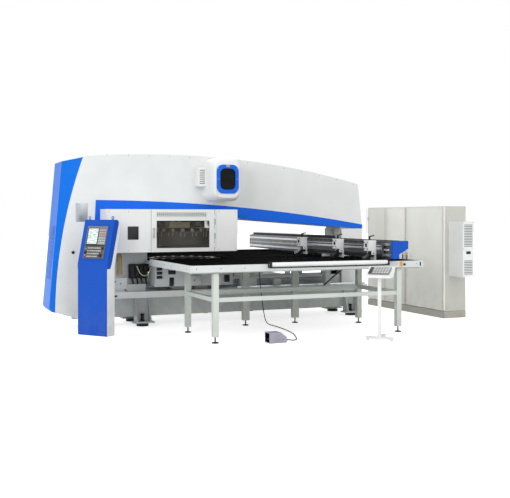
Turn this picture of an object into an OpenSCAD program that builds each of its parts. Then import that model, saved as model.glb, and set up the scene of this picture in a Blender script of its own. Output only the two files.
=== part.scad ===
// Turret punch press: closed portal frame in sheet covers, turret behind a guard door,
// brush tables, cross beam with sheet clamps, operator console, switch cabinet and foot pedal.
// Layout frame: x from the left end along the press, y from the front cover backwards, z from the floor.

/* [Press housing] */
// Length of the covered press frame
housing_l = 4860; // [4600:10:5200]
// Height of the housing at its left half
housing_h = 2415; // [2350:5:2500]
// Depth of the housing, front cover to rear cover
housing_t = 550; // [520:5:600]
// Thickness of the sheet covers
skin = 4; // [3:1:6]
// Radius of the long crown along the top
crown_r = 13000; // [12000:100:15000]
// Where the top starts to fall away
crown_x = 1700; // [1500:10:1900]
// Underside of the upper beam cover at the right end
beam_under_z = 1348; // [1330:2:1370]
// Height of the belt stripe's upper edge at the left
belt_z = 1760; // [1740:2:1780]
// Height of the belt stripe at the right end
belt_end_h = 62; // [50:2:80]
// Thickness of the belt stripe
belt_t = 3; // [2:1:5]

/* [Frame and feet] */
// Height of the frame's underside above the floor
frame_z = 130; // [110:5:150]
// Thickness of each of the two frame side plates
plate_t = 90; // [70:5:100]
// Left edge of the throat
throat_x0 = 1380; // [1360:5:1400]
// Width of the right column
column_w = 370; // [340:5:390]
// Floor of the throat
throat_z = 640; // [620:5:650]
// Radius of a machine foot pad
foot_r = 85; // [70:5:100]

/* [Turret and ram] */
// Ram axis along the press
ram_x = 2430; // [2420:2:2440]
// Pitch radius of the tool stations
station_r = 450; // [440:2:460]
// Outer radius of the turret discs
turret_r = 540; // [530:2:550]
// Number of tool stations
stations = 20; // [16:4:20]
// Radius of a tool station bore
tool_r = 30; // [24:1:34]
// Radius of the ram
ram_r = 55; // [45:1:65]
// Stroke of the ram
ram_stroke = 30; // [20:1:30]

/* [Guard] */
// Left end of the turret guard
guard_x0 = 700; // [680:5:720]
// Right end of the turret guard
guard_x1 = 2580; // [2570:5:2600]
// Depth of the guard in front of the housing
guard_d = 400; // [380:5:420]
// Underside of the guard
guard_z0 = 1045; // [1030:5:1060]
// Top of the guard
guard_z1 = 1632; // [1620:2:1640]
// Left edge of the guard door
door_x0 = 1310; // [1290:5:1330]
// Right edge of the guard door
door_x1 = 2240; // [2230:2:2250]
// Depth of the door's folded edge
door_t = 28; // [22:1:34]

/* [Tables] */
// Height of the table surface
table_z = 945; // [930:5:950]
// Left edge of the tables
table_x0 = 1320; // [1300:5:1340]
// Distance of the tables' right edge from the end of the press
table_end_in = 260; // [220:5:300]
// Reach of the front table in front of the housing
table_reach = 2030; // [1980:5:2080]
// Height of the bristles that carry the sheet
bristle_h = 8; // [6:1:10]
// Height of the white rim
rim_h = 85; // [80:1:95]
// Side of the square leg tubes
leg_s = 70; // [60:2:80]
// Distance of the legs from the table's ends
leg_in = 345; // [320:5:370]
// Height of the stretcher's middle
stretcher_z = 522; // [480:2:560]
// Radius of the loading roller
roller_r = 26; // [22:1:28]

/* [Cross beam and clamps] */
// Distance of the cross beam's clamp face from the right column
beam_in = 430; // [410:5:450]
// Width of the cross beam
beam_w = 240; // [220:5:260]
// Underside of the cross beam above the table
beam_gap = 32; // [28:1:40]
// Height of the cross beam
beam_h = 234; // [224:2:244]
// How far the cross beam passes the table's front edge
beam_past = 60; // [40:5:80]
// How far the guide rails stand out of their seat
rail_t = 25; // [20:1:30]
// Length of the clamp carriage
carriage_l = 2400; // [2350:10:2450]
// Width of a clamp
clamp_w = 120; // [100:5:140]

/* [Console] */
// Width of the operator console
console_w = 480; // [460:5:520]
// Depth of the operator console
console_d = 150; // [130:5:180]
// Height of the operator console
console_h = 1490; // [1450:5:1520]
// Height of the bend in the console's front
console_bend_z = 920; // [900:5:940]
// How far the upper part leans back
console_lean = 150; // [130:5:170]

/* [Switch cabinet] */
// Distance of the switch cabinet from the right end of the press
cabinet_gap = 825; // [800:5:900]
// Front of the row of cabinets, against the housing's front
cabinet_y = -1000; // [-1020:5:-980]
// Depth of the switch cabinet
cabinet_d = 400; // [380:5:450]
// Height of the switch cabinet
cabinet_h = 1690; // [1650:5:1750]
// Height of the plinth
plinth_h = 110; // [100:5:130]
// Widths of the three cabinet doors, front to back
door_widths = [1000, 600, 600];
// Width of the cooling unit
cooler_w = 200; // [180:5:230]
// Depth of the cooling unit
cooler_d = 340; // [320:5:360]

/* [Hidden] */
$fn = 64;
gap = 0.3;
fit = 0.05;
housing_mid = housing_t / 2;
turret_x = ram_x - station_r;
throat_x1 = housing_l - column_w;
table_x1 = housing_l - table_end_in;
beam_x = throat_x1 - beam_in;
beam_reach = table_reach + beam_past;
cabinet_x = housing_l + cabinet_gap;
frame_y0 = 40;
frame_y1 = housing_t - frame_y0;
end_lean = 85;
end_top_x = housing_l - end_lean;
under_slope = 0.0714;
belt_x = 642;
beam_z0 = table_z + beam_gap;
beam_z1 = beam_z0 + beam_h;
table_y1 = -300;
slot_y = -100;
stand_y = -table_reach - 520;
stand_x = housing_l - 1260;
stand_turn = -45;
stand_bar = 345;
stand_bar_w = 42;
stand_leg = 260;
stand_head_w = 320;
stand_head_front = 120;
console_x = 440;
console_y = -721;
console_turn = -52;
pedal_x = 2250;
pedal_y = -table_reach - 150;
clamp_spacing = [285, 1160, 2320];
clamp_places = [for (d = clamp_spacing) d - table_reach];
beam_rear = housing_t + beam_reach;
cap_t = 40;
layout_x0 = 10;
layout_x1 = cabinet_x + cabinet_d;
layout_y0 = stand_y - stand_head_w / 2 * sin(-stand_turn) - stand_head_front * cos(stand_turn);
layout_y1 = beam_rear + cap_t;
centre = [(layout_x0 + layout_x1) / 2, (layout_y0 + layout_y1) / 2, 0];

white = [0.93, 0.94, 0.95];
grey_white = [0.84, 0.85, 0.82];
blue = [0.13, 0.38, 0.88];
steel = [0.6, 0.62, 0.64];
dark = [0.08, 0.08, 0.09];
frame_grey = [0.72, 0.75, 0.74];

module place() translate(-centre) children();
module mirror_back() translate([0, housing_t, 0]) mirror([0, 1, 0]) children();
// Extrudes an outline drawn in x and z along y, from y0 to y1.
module upright(y0, y1) translate([0, y1, 0]) rotate([90, 0, 0]) linear_extrude(y1 - y0) children();
module block(lo, hi) translate(lo) cube(hi - lo);
module post(x, y, r, z0, z1) translate([x, y, z0]) cylinder(r = r, h = z1 - z0);
module crown(r_less = 0)
    translate([crown_x, housing_h - crown_r]) circle(r = crown_r - r_less, $fn = 720);
function crown_z(x) = housing_h - crown_r + sqrt(crown_r * crown_r - (x - crown_x) * (x - crown_x));
function under_z(x) = beam_under_z + (housing_l - x) * under_slope;
// Rounded rectangle with true arcs, centred on the origin.
module rounded(w, h, r) {
    square([w - 2 * r, h], center = true);
    square([w, h - 2 * r], center = true);
    for (sx = [-1, 1], sy = [-1, 1]) translate([sx * (w / 2 - r), sy * (h / 2 - r)]) circle(r);
}

// The sheet covers of the press.
blue_top = [467, housing_h - 69];
blue_corner = [180, housing_h - 135];
blue_heel = [layout_x0, 290];
blue_low = [45, 245];
cover_heel_x = 500;
sweep_r = 6600;
sweep_z = 150;
column_cover_x = 740;
cover_foot_z = 110;
ledge_z = 1515;
rail_beam_z = [415, 500];
column_cover_z = rail_beam_z[1] + skin;
cover_heel = [cover_heel_x, cover_foot_z];
heel_fall = (blue_low[1] - cover_foot_z) / (cover_heel_x - blue_low[0]);
// The long arc where the end cover meets the front cover.
module end_sweep()
    translate([blue_top[0] + sqrt(sweep_r * sweep_r - pow(blue_top[1] - sweep_z, 2)), sweep_z]) circle(r = sweep_r, $fn = 720);
module cover_outline() intersection() {
    crown();
    end_sweep();
    polygon([blue_low, blue_heel, blue_corner, blue_top, [blue_top[0] + 27, housing_h + 90], [end_top_x - 45, housing_h + 90],
        [housing_l, beam_under_z], [guard_x1 - 60, under_z(guard_x1 - 60)], [column_cover_x, ledge_z],
        [column_cover_x, cover_foot_z], cover_heel]);
}
module front_cover() color(white) place() upright(0, skin) cover_outline();
module rear_cover() color(white) place() upright(housing_t - skin, housing_t) cover_outline();
module top_cover() color(white) place() upright(skin, housing_t - skin) intersection() {
    union() {
        difference() { crown(); crown(skin); }
        polygon([[housing_l - skin, beam_under_z], [housing_l, beam_under_z],
            [end_top_x - 45, housing_h + 90], [end_top_x - 45 - skin, housing_h + 90]]);
    }
    crown();
    polygon([[blue_top[0] + 27, housing_h - 500], [blue_top[0] + 27, housing_h + 90],
        [end_top_x - 45, housing_h + 90], [housing_l, beam_under_z], [housing_l - 500, beam_under_z]]);
}
module right_column_cover() color(white) place() difference() {
    block([throat_x1, 0, column_cover_z], [housing_l, housing_t, beam_under_z - gap]);
    block([throat_x1 - 1, skin, column_cover_z - 1], [housing_l - skin, housing_t - skin, beam_under_z + 1]);
}
// Outline of the end cover; with a wall it is the hollow inside, open towards the press.
end_lap = 60;
module left_end_outline(wall) polygon([blue_heel + [wall, 0], blue_corner + [wall, -wall],
    blue_top + (wall > 0 ? [end_lap, 10] : [0, 0]), cover_heel + (wall > 0 ? [end_lap, wall - end_lap * heel_fall] : [0, 0]),
    blue_low + [wall / 3, wall]]);
louvres = 24;
louvre_z = 680;
louvre_pitch = 31;
louvre_h = 12;
module left_end_cover() color(blue) place() difference() {
    upright(0, housing_t) difference() { left_end_outline(0); end_sweep(); }
    upright(skin, housing_t - skin) left_end_outline(skin);
    for (i = [0:louvres - 1])
        block([-5, 110, louvre_z + i * louvre_pitch], [140, housing_t - 110, louvre_z + louvre_h + i * louvre_pitch]);
}
belt_leg = [640, column_cover_x];
belt_foot_z = 1200;
belt_w = 127;
belt_steps = 24;
belt_run_l = housing_l - belt_x;
belt_drop = belt_z - beam_under_z - belt_end_h;
belt_r = (belt_run_l * belt_run_l + belt_drop * belt_drop) / (2 * belt_drop);
// Height of the belt's upper edge at x: a shallow arc.
function belt_top(x) = belt_z - belt_r + sqrt(belt_r * belt_r - (x - belt_x) * (x - belt_x));
function belt_bottom(x) = x < guard_x1 ? belt_top(x) - belt_w : max(under_z(x), belt_top(x) - belt_w - (x - guard_x1) * 0.3);
function belt_run(k) = belt_leg[1] + (housing_l - belt_leg[1]) * k / belt_steps;
module belt_stripe() color(blue) place() upright(-belt_t, 0) polygon(concat(
    [[belt_leg[0] - 24, belt_foot_z], [belt_leg[0], belt_z]],
    [for (k = [0:belt_steps]) [belt_run(k), belt_top(belt_run(k))]],
    [for (k = [belt_steps:-1:0]) [belt_run(k), belt_bottom(belt_run(k))]],
    [[belt_leg[1] - 24, belt_foot_z]]));

// The press frame: two side plates joined by webs, with the ram seat and the turret webs.
frame_x0 = 330;
frame_x1 = housing_l - 60;
frame_shoulder_z = beam_under_z + 52;
frame_less = 85;
crown_posts = [560, 1900, 3300, housing_l - 160];
throat_top = ledge_z + 20;
module frame_outline() difference() {
    polygon(concat([[frame_x0, frame_z], [frame_x0, housing_h - 515]], [for (x = crown_posts) [x, crown_z(x) - frame_less]],
        [[frame_x1 - 10, frame_shoulder_z], [frame_x1, frame_z]]));
    polygon([[throat_x0, throat_z], [throat_x1, throat_z], [throat_x1, frame_shoulder_z], [guard_x1 + 20, throat_top],
        [throat_x0, throat_top]]);
}
seat_r = 120;
seat_w = 230;
web_t = 60;
mount_s = 35;
mount_less = 165;
mount_right = housing_l - 260;
cover_mounts = concat([[frame_x0 + 100, 400], [frame_x0 + 100, ledge_z]],
    [for (x = [900, 2000, 3300, mount_right]) [x, crown_z(x) - mount_less]],
    [[mount_right, frame_shoulder_z + 100], [throat_x1 + 130, column_cover_z + 100], [throat_x1 + 130, beam_under_z - 148]]);
// A pad on the frame's side plate that the sheet cover is screwed to.
module cover_mount(m) block([m[0] - mount_s, skin, m[1] - mount_s], [m[0] + mount_s, frame_y0 + 1, m[1] + mount_s]);
module press_frame() color(frame_grey) place() difference() {
    union() {
        upright(frame_y0, frame_y0 + plate_t) frame_outline();
        upright(frame_y1 - plate_t, frame_y1) frame_outline();
        for (b = [[[frame_x0, throat_z - 40], [frame_x1, throat_z]], [[ram_x - seat_w, throat_top], [ram_x + seat_w, flange_z]],
                  [[turret_x - 200, throat_top], [turret_x + 200, flange_z - 50]],
                  [[throat_x1, throat_z], [throat_x1 + web_t, frame_shoulder_z]],
                  [[throat_x0 - web_t, throat_z], [throat_x0, throat_top]]])
            block([b[0][0], frame_y0 + plate_t - 1, b[0][1]], [b[1][0], frame_y1 - plate_t + 1, b[1][1]]);
        for (m = cover_mounts) {
            cover_mount(m);
            mirror_back() cover_mount(m);
        }
    }
    post(ram_x, housing_mid, seat_r, ledge_z, flange_z + 1);
    block([throat_x1 - 1, housing_mid - 45, 1120], [throat_x1 + web_t - 20, housing_mid + 45, 1330]);
}

// The hydraulic ram and the hood in front of it.
flange_z = ledge_z + 185;
flange_r = 140;
flange_t = 40;
tool_head_z = 1362;
ram_z = tool_head_z + ram_stroke + gap;
module ram_cylinder() color(steel) place() difference() {
    union() {
        post(ram_x, housing_mid, seat_r - gap, ledge_z + 30, flange_z + 1);
        post(ram_x, housing_mid, flange_r, flange_z, flange_z + flange_t);
        post(ram_x, housing_mid, flange_r - 40, flange_z + flange_t - 1, flange_z + 240);
        for (i = [0:7]) translate([ram_x, housing_mid, flange_z + flange_t - 1]) rotate(i * 45 + 22.5)
            translate([flange_r - 20, 0, 0]) cylinder(r = 13, h = 15, $fn = 6);
    }
    post(ram_x, housing_mid, ram_r + fit, ledge_z, flange_z - 10);
}
module ram() color([0.75, 0.76, 0.78]) place() union() {
    post(ram_x, housing_mid, ram_r, ram_z, flange_z - 50);
    post(ram_x, housing_mid, ram_r + 12, ram_z + 25, ram_z + 70);
}
hood_w = 430;
hood_z = [housing_h - 660, housing_h - 50];
hood_h = hood_z[1] - hood_z[0];
hood_reach = 450;
hood_round = 110;
ring_w = 330;
ring_h = 405;
glass_w = 230;
glass_h = 300;
module hood_at(y) translate([ram_x - 20, y, (hood_z[0] + hood_z[1]) / 2]) rotate([90, 0, 0]) children();
module ram_hood() color(white) place() difference() {
    union() {
        hood_at(0) linear_extrude(hood_reach - 90) rounded(hood_w, hood_h, hood_round);
        hull() {
            hood_at(-hood_reach + 90) linear_extrude(1) rounded(hood_w, hood_h, hood_round, $fn = 32);
            hood_at(-hood_reach + 25) linear_extrude(1) rounded(hood_w - 40, hood_h - 40, hood_round - 10, $fn = 32);
            hood_at(-hood_reach + 1) linear_extrude(1) rounded(hood_w - 90, hood_h - 90, hood_round - 20, $fn = 32);
        }
    }
    hood_at(-hood_reach + 70) linear_extrude(80) rounded(glass_w + 20, glass_h + 20, 70);
}
module hood_ring() color(blue) place() hood_at(-hood_reach) difference() {
    linear_extrude(16) rounded(ring_w, ring_h, 95);
    translate([0, 0, -1]) linear_extrude(18) rounded(glass_w, glass_h, 70);
}
module hood_window() color(dark) place() hood_at(-hood_reach + 8) linear_extrude(8) rounded(glass_w + 19, glass_h + 19, 69.5);
vent_x = ram_x - 20 - hood_w / 2;
vent_w = 110;
vent_d = 150;
vent_z = [hood_z[0] + 210, hood_z[0] + 485];
vent_rows = 8;
module hood_side_vent() color(white) place() difference() {
    block([vent_x - vent_w, -vent_d, vent_z[0]], [vent_x, 0, vent_z[1]]);
    for (i = [0:vent_rows - 1]) block([vent_x - vent_w + 15, -vent_d - 5, vent_z[0] + 35 + i * 27],
        [vent_x - 15, -vent_d + 10, vent_z[0] + 47 + i * 27]);
}

// The two turret discs with their tools.
upper_z = [1130, 1320];
lower_z = [740, 930];
bearing_r = 100;
shaft_top = upper_z[1] + 120;
module station_ring() for (i = [0:stations - 1]) rotate(i * 360 / stations) translate([station_r, 0, 0]) children();
module turret_at(z) translate([turret_x, housing_mid, z]) children();
module turret_upper() color(steel) place() difference() {
    union() {
        turret_at(upper_z[0]) cylinder(r = turret_r, h = upper_z[1] - upper_z[0], $fn = 128);
        turret_at(upper_z[1] - 1) cylinder(r = bearing_r, h = shaft_top - upper_z[1] + 1);
    }
    turret_at(upper_z[0] - 1) station_ring() cylinder(r = tool_r, h = upper_z[1] - upper_z[0] + 2);
    turret_at(upper_z[0] + 50) rotate_extrude($fn = 128) translate([turret_r - 12, 0]) square([20, 60]);
}
module punches() color([0.78, 0.72, 0.5]) place() turret_at(upper_z[0] - 20) station_ring() {
    cylinder(r = tool_r - fit, h = upper_z[1] - upper_z[0] + 20);
    translate([0, 0, upper_z[1] - upper_z[0] + 20]) cylinder(r = tool_r + 6, h = tool_head_z - upper_z[1]);
}
module turret_lower() color(steel) place() difference() {
    union() {
        turret_at(lower_z[0]) cylinder(r = turret_r, h = lower_z[1] - lower_z[0], $fn = 128);
        turret_at(throat_z + gap) cylinder(r = bearing_r, h = lower_z[0] - throat_z);
    }
    turret_at(lower_z[1] - 40) station_ring() cylinder(r = tool_r - 8, h = 41);
    turret_at(lower_z[0] + 60) rotate_extrude($fn = 128) translate([turret_r - 12, 0]) square([20, 60]);
}
// A hub from z0 to z1, bored for the turret's shaft from b0 to b1.
module bearing_hub(z0, z1, b0, b1) difference() {
    post(turret_x, housing_mid, bearing_r + 50, z0, z1);
    post(turret_x, housing_mid, bearing_r + fit, b0, b1);
}
module turret_bearings() color([0.35, 0.36, 0.38]) place() {
    bearing_hub(shaft_top - 60, throat_top, shaft_top - 61, shaft_top + gap);
    bearing_hub(throat_z, throat_z + 80, throat_z - 1, throat_z + 81);
}
module die_support() color(steel) place() block([ram_x - 80, housing_mid - 80, throat_z], [ram_x + 80, housing_mid + 80, lower_z[0] - 2]);

// The turret guard and its door.
seam = 2;
window_x = [1396, 2150];
window_z = [1105, 1470];
hinge_x = door_x1 + seam / 2;
hinge_r = 8;
hinge_y = -guard_d - hinge_r - 1;
knuckles = [[1100, 1160], [1300, 1360], [1500, 1560]];
guard_round = 26;
corner_steps = 6;
// The rolled lower right corner of the guard, as an arc of radius r.
function guard_corner(r) = [for (k = [0:corner_steps]) let (a = 90 * k / corner_steps)
    [guard_x1 - guard_round + r * sin(a), guard_z0 + guard_round - r * cos(a)]];
module guard_housing() color(white) place() {
    difference() {
        upright(-guard_d, -belt_t - gap) polygon(concat([[guard_x0, guard_z0]], guard_corner(guard_round),
            [[guard_x1, guard_z1], [guard_x0, guard_z1]]));
        upright(-guard_d + skin, 1) polygon(concat([[guard_x0 + skin, guard_z0 - 1], [guard_x1 - guard_round, guard_z0 - 1]],
            guard_corner(guard_round - skin), [[guard_x1 - skin, guard_z1 - skin], [guard_x0 + skin, guard_z1 - skin]]));
        block([door_x0, -guard_d - 1, guard_z0 - 1], [door_x1, -guard_d + skin + 1, guard_z1 + 1]);
        block([door_x0, -guard_d - 1, guard_z1 - skin - 1], [door_x1, -guard_d + door_t + 1, guard_z1 + 1]);
    }
    for (k = knuckles) translate([0, 0, k[1] + 2]) hinge_leaf(k[1] - k[0] - 4, 1);
}
// One hinge knuckle with its leaf: side 1 lies on the guard, side -1 on the door.
module hinge_leaf(h, side) difference() {
    union() {
        translate([hinge_x, hinge_y, 0]) cylinder(r = hinge_r, h = h);
        block([min(hinge_x, hinge_x + side * 34), -guard_d - 3, 0], [max(hinge_x, hinge_x + side * 34), -guard_d, h]);
    }
    translate([hinge_x, hinge_y, -1]) cylinder(r = 4 + fit, h = h + 2);
    block([hinge_x + min(-side * 34, side * seam), -guard_d - 3.5, -1],
        [hinge_x + max(-side * 34, side * seam), -guard_d + 1, h + 1]);
}
vent_slots = 26;
module guard_door() color(white) place() {
    difference() {
        block([door_x0 + seam, -guard_d, guard_z0], [door_x1 - seam, -guard_d + door_t, guard_z1]);
        block([door_x0 + seam + skin, -guard_d + skin, guard_z0 + skin], [door_x1 - seam - skin, -guard_d + door_t + 1, guard_z1 - skin]);
        block([window_x[0], -guard_d - 1, window_z[0]], [window_x[1], -guard_d + door_t, window_z[1]]);
        for (i = [0:vent_slots - 1])
            block([window_x[0] + i * 28, -guard_d - 1, 1530], [window_x[0] + 12 + i * 28, -guard_d + skin + 1, 1590]);
    }
    for (k = knuckles) translate([0, 0, k[0]]) hinge_leaf(k[1] - k[0], -1);
}
module guard_window() color([0.2, 0.19, 0.17, 0.5]) place()
    block([window_x[0] - 18, -guard_d + skin, window_z[0] - 18], [window_x[1] + 18, -guard_d + skin + 5, window_z[1] + 18]);
module guard_door_pin() color(steel) place() post(hinge_x, hinge_y, 4, knuckles[0][0] - 6, knuckles[2][1] + 66);
module guard_handle() color([0.75, 0.76, 0.78]) place() {
    for (z = [1255, 1365]) translate([door_x0 + 36, -guard_d, z]) rotate([90, 0, 0]) cylinder(r = 6, h = 30);
    block([door_x0 + 28, -guard_d - 42, 1240], [door_x0 + 44, -guard_d - 30, 1380]);
}

// Rail beams in front of and behind the frame, the machine's feet and the boxes on its base.
rail_y = -200;
rail_beam_x = [800, housing_l - 60];
rail_top = rail_beam_z[1] + rail_t;
rail_x = [2650, housing_l - 80];
module one_rail_beam() block([rail_beam_x[0], rail_y - 60, rail_beam_z[0]], [rail_beam_x[1], frame_y0, rail_beam_z[1]]);
module rail_beams() color(white) place() { one_rail_beam(); mirror_back() one_rail_beam(); }
module one_guide_rail() block([rail_x[0], rail_y - 20, rail_beam_z[1]], [rail_x[1], rail_y + 20, rail_top]);
module guide_rails() color(steel) place() { one_guide_rail(); mirror_back() one_guide_rail(); }
foot_xs = [1296, housing_l - 220];
foot_w = 300;
foot_y = -20;
foot_front = -130;
foot_z = [45, 65];
foot_rib = 16;
foot_rib_x = 90;
foot_pad_h = 34;
jack_r = 18;
jack_top = 150;
// A foot bracket on the frame: a plate with two ribs and a back plate.
module one_foot(x) difference() {
    union() {
        block([x - foot_w / 2, foot_front, foot_z[0]], [x + foot_w / 2, frame_y0, foot_z[1]]);
        block([x - foot_rib_x, frame_y0 - foot_rib, foot_z[0]], [x + foot_rib_x, frame_y0, rail_beam_z[0]]);
        for (e = [x - foot_rib_x - foot_rib, x + foot_rib_x]) upright_side(e, e + foot_rib) polygon([[frame_y0, rail_beam_z[0]],
            [frame_y0 - 30, rail_beam_z[0]], [foot_front + 10, foot_z[1] + 20], [foot_front + 10, foot_z[0]], [frame_y0, foot_z[0]]]);
    }
    post(x, foot_y, jack_r + gap, 0, foot_z[1] + 1);
}
// The pad and the jack screw under a foot bracket.
module one_jack(x) {
    post(x, foot_y, foot_r, 0, foot_pad_h);
    post(x, foot_y, foot_r / 2, foot_pad_h - 1, foot_z[0]);
    post(x, foot_y, jack_r, foot_pad_h - 1, jack_top);
    translate([x, foot_y, foot_z[1]]) cylinder(r = 32, h = 24, $fn = 6);
    translate([x, foot_y, jack_top - 1]) cylinder(r = 26, h = 22, $fn = 6);
}
// Extrudes an outline drawn in y and z along x, from x0 to x1.
module upright_side(x0, x1) translate([x0, 0, 0]) rotate([90, 0, 90]) linear_extrude(x1 - x0) children();
module machine_feet() color(frame_grey) place() for (x = foot_xs) { one_foot(x); mirror_back() one_foot(x); }
// Boxes on the base: low and high corner of each, from the frame's front plate forwards.
base_z = rail_beam_z[1];
base_places = [[[800, -150, base_z], [1010, 640]], [[840, -110, 655], [960, 1000]], [[1060, -70, base_z], [1330, 590]],
    [[1700, -90, base_z], [1900, 556]], [[2060, -60, base_z], [2250, 556]], [[2760, -70, base_z], [3020, 620]],
    [[3300, -70, base_z], [3420, 600]]];
skirt_x = [1404, 2560];
skirt_y = table_y1 + 15;
skirt_z = [560, 862];
skirt_t = 6;
// Sheet skirt around the front of the lower turret.
module turret_skirt() difference() {
    block([skirt_x[0], skirt_y, skirt_z[0]], [skirt_x[1], frame_y0, skirt_z[1]]);
    block([skirt_x[0] + skirt_t, skirt_y + skirt_t, skirt_z[0] - 1], [skirt_x[1] - skirt_t, frame_y0 + 1, skirt_z[1] + 1]);
    for (x = [1590, 2240]) block([x, skirt_y - 1, 725], [x + 110, skirt_y + skirt_t + 1, 785]);
}
module base_boxes() color(grey_white) place() {
    for (b = base_places) block(b[0], [b[1][0], frame_y0, b[1][1]]);
    turret_skirt();
}

// The brush tables on their leg frames.
plate = 30;
rim_t = 20;
module one_table_top() block([table_x0 + rim_t, -table_reach + rim_t, table_z - plate], [table_x1 - rim_t, table_y1, table_z - bristle_h]);
module one_table_rim() difference() {
    block([table_x0, -table_reach, table_z - rim_h], [table_x1, table_y1, table_z]);
    block([table_x0 + rim_t, -table_reach + rim_t, table_z - rim_h - 1], [table_x1 - rim_t, table_y1 + 1, table_z + 1]);
}
leg_xs = [table_x0 + leg_in, table_x1 - leg_in];
leg_ys = [-table_reach + 80, (table_y1 - table_reach) / 2 + 245];
post_xs = [2641, 3414];
post_y = -555;
foot_gap = 75;
leg_top = table_z - plate;
rail_h = 70;
bar_w = 50;
bar_h = 54;
post_w = 100;
post_d = 60;
// Bars that tie the table's rear edge to the press.
tie_x = [table_x0 + rim_t, throat_x1 + 30];
tie_w = 40;
tie_lap = 60;
module tube_leg(x, y, w, d) block([x - w / 2, y - d / 2, foot_gap], [x + w / 2, y + d / 2, leg_top - rail_h]);
module one_leg_set() {
    for (x = leg_xs, y = leg_ys) tube_leg(x, y, leg_s, leg_s);
    for (x = post_xs) tube_leg(x, post_y, post_w, post_d);
}
// Rails under the table top along the press, and the stretchers between the legs.
module one_rail_set() {
    for (y = concat(leg_ys, [post_y]))
        block([table_x0 + rim_t, y - bar_w / 2, leg_top - rail_h], [table_x1 - rim_t, y + bar_w / 2, leg_top]);
    for (y = leg_ys) block([leg_xs[0] + leg_s / 2, y - bar_w / 2, stretcher_z - bar_h / 2],
        [leg_xs[1] - leg_s / 2, y + bar_w / 2, stretcher_z + bar_h / 2]);
    for (x = leg_xs) block([x - bar_w / 2, leg_ys[0] + leg_s / 2, stretcher_z - bar_h / 2],
        [x + bar_w / 2, leg_ys[1] - leg_s / 2, stretcher_z + bar_h / 2]);
    block([tie_x[0], table_y1 - tie_lap, leg_top - tie_w], [tie_x[0] + tie_w, frame_y0, leg_top]);
    block([tie_x[1], table_y1 - tie_lap, leg_top - tie_w], [tie_x[1] + tie_w, 0, leg_top]);
}
module one_levelling_set() for (p = [for (x = leg_xs, y = leg_ys) [x, y], for (x = post_xs) [x, post_y]]) {
    post(p[0], p[1], 42, 0, 12);
    post(p[0], p[1], 9, 11, foot_gap);
}
module table_tops() color(dark) place() { one_table_top(); mirror_back() one_table_top(); }
module table_rims() color(white) place() { one_table_rim(); mirror_back() one_table_rim(); }
module table_legs() color(grey_white) place() { one_leg_set(); mirror_back() one_leg_set(); }
module table_rails() color(grey_white) place() { one_rail_set(); mirror_back() one_rail_set(); }
module one_jack_set() for (x = foot_xs) one_jack(x);
module levelling_feet() color(dark) place() {
    one_levelling_set();
    mirror_back() one_levelling_set();
    one_jack_set();
    mirror_back() one_jack_set();
}
centre_x = [2620, throat_x1 - 20];
module centre_table() color(dark) place() union() {
    block([centre_x[0], slot_y, table_z - plate], [centre_x[1], housing_t - slot_y, table_z - bristle_h]);
    for (x = [centre_x[0] + 60, centre_x[1] - 60], y = [frame_y0 + 60, frame_y1 - 60])
        block([x - 30, y - 30, throat_z], [x + 30, y + 30, table_z - plate + 1]);
}
roller_x = [2350, beam_x - 54];
roller_y = -table_reach - 45;
roller_z = table_z - 5;
module along_x(x0, x1, r) translate([x0, roller_y, roller_z]) rotate([0, 90, 0]) cylinder(r = r, h = x1 - x0);
module loading_roller() color(white) place() union() {
    along_x(roller_x[0] + 1, roller_x[1] - 1, roller_r);
    along_x(roller_x[0] - 20, roller_x[1] + 20, 10);
}
module roller_brackets() color(dark) place() for (x = [roller_x[0] - 24, roller_x[1]]) difference() {
    block([x, roller_y - 32, roller_z - 42], [x + 24, -table_reach, roller_z + 32]);
    translate([x - 1, roller_y, roller_z]) rotate([0, 90, 0]) cylinder(r = 10 + fit, h = 26);
}

// The cross beam, its saddles, the clamp carriage and the clamps.
step_x = 100;
function beam_section(w) = [[beam_x + w, beam_z0 + w], [beam_x + step_x - w, beam_z0 + w], [beam_x + step_x - w, beam_z0 + 58 + w * 0.5],
    [beam_x + beam_w - w, beam_z0 + 133 + w * 0.5], [beam_x + beam_w - w, beam_z1 - w], [beam_x + w, beam_z1 - w]];
module cross_beam() color(steel) place() difference() {
    upright(-beam_reach, beam_rear) polygon(beam_section(0));
    upright(-beam_reach - 1, beam_rear + 1) polygon(beam_section(14));
}
module beam_caps() color(blue) place() {
    upright(-beam_reach - cap_t, -beam_reach) polygon(beam_section(0));
    upright(beam_rear, beam_rear + cap_t) polygon(beam_section(0));
}
rail_zs = [beam_z0 + 48, beam_z1 - 46];
rail_w = 30;
module beam_rails() color([0.7, 0.71, 0.73]) place() for (z = rail_zs)
    block([beam_x - rail_t, -beam_reach + 20, z - rail_w / 2], [beam_x, beam_rear - 20, z + rail_w / 2]);
module one_saddle() difference() {
    block([beam_x + 10, rail_y - 60, rail_beam_z[1] + 5], [beam_x + step_x - 10, rail_y + 60, beam_z0]);
    block([beam_x, rail_y - 20 - gap, rail_beam_z[1] + 4], [beam_x + step_x, rail_y + 20 + gap, rail_top + gap]);
}
module saddles() color(grey_white) place() { one_saddle(); mirror_back() one_saddle(); }
carriage_y0 = -table_reach + 80;
carriage_t = 25;
carriage_x = beam_x - rail_t - gap - carriage_t;
module carriage() color([0.45, 0.46, 0.48]) place() {
    block([carriage_x, carriage_y0, beam_z0 + 20], [carriage_x + carriage_t, carriage_y0 + carriage_l, beam_z1 - 16]);
    for (z = rail_zs, k = [0.1, 0.5, 0.9]) difference() {
        block([carriage_x + carriage_t - 1, carriage_y0 + k * carriage_l - 60, z - rail_w / 2 - 14],
            [beam_x - 5, carriage_y0 + k * carriage_l + 60, z + rail_w / 2 + 14]);
        block([carriage_x + carriage_t, carriage_y0, z - rail_w / 2 - gap], [beam_x, carriage_y0 + carriage_l, z + rail_w / 2 + gap]);
    }
}
jaw_pin = [carriage_x - 45, table_z + 100];
cheek = 15;
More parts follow.
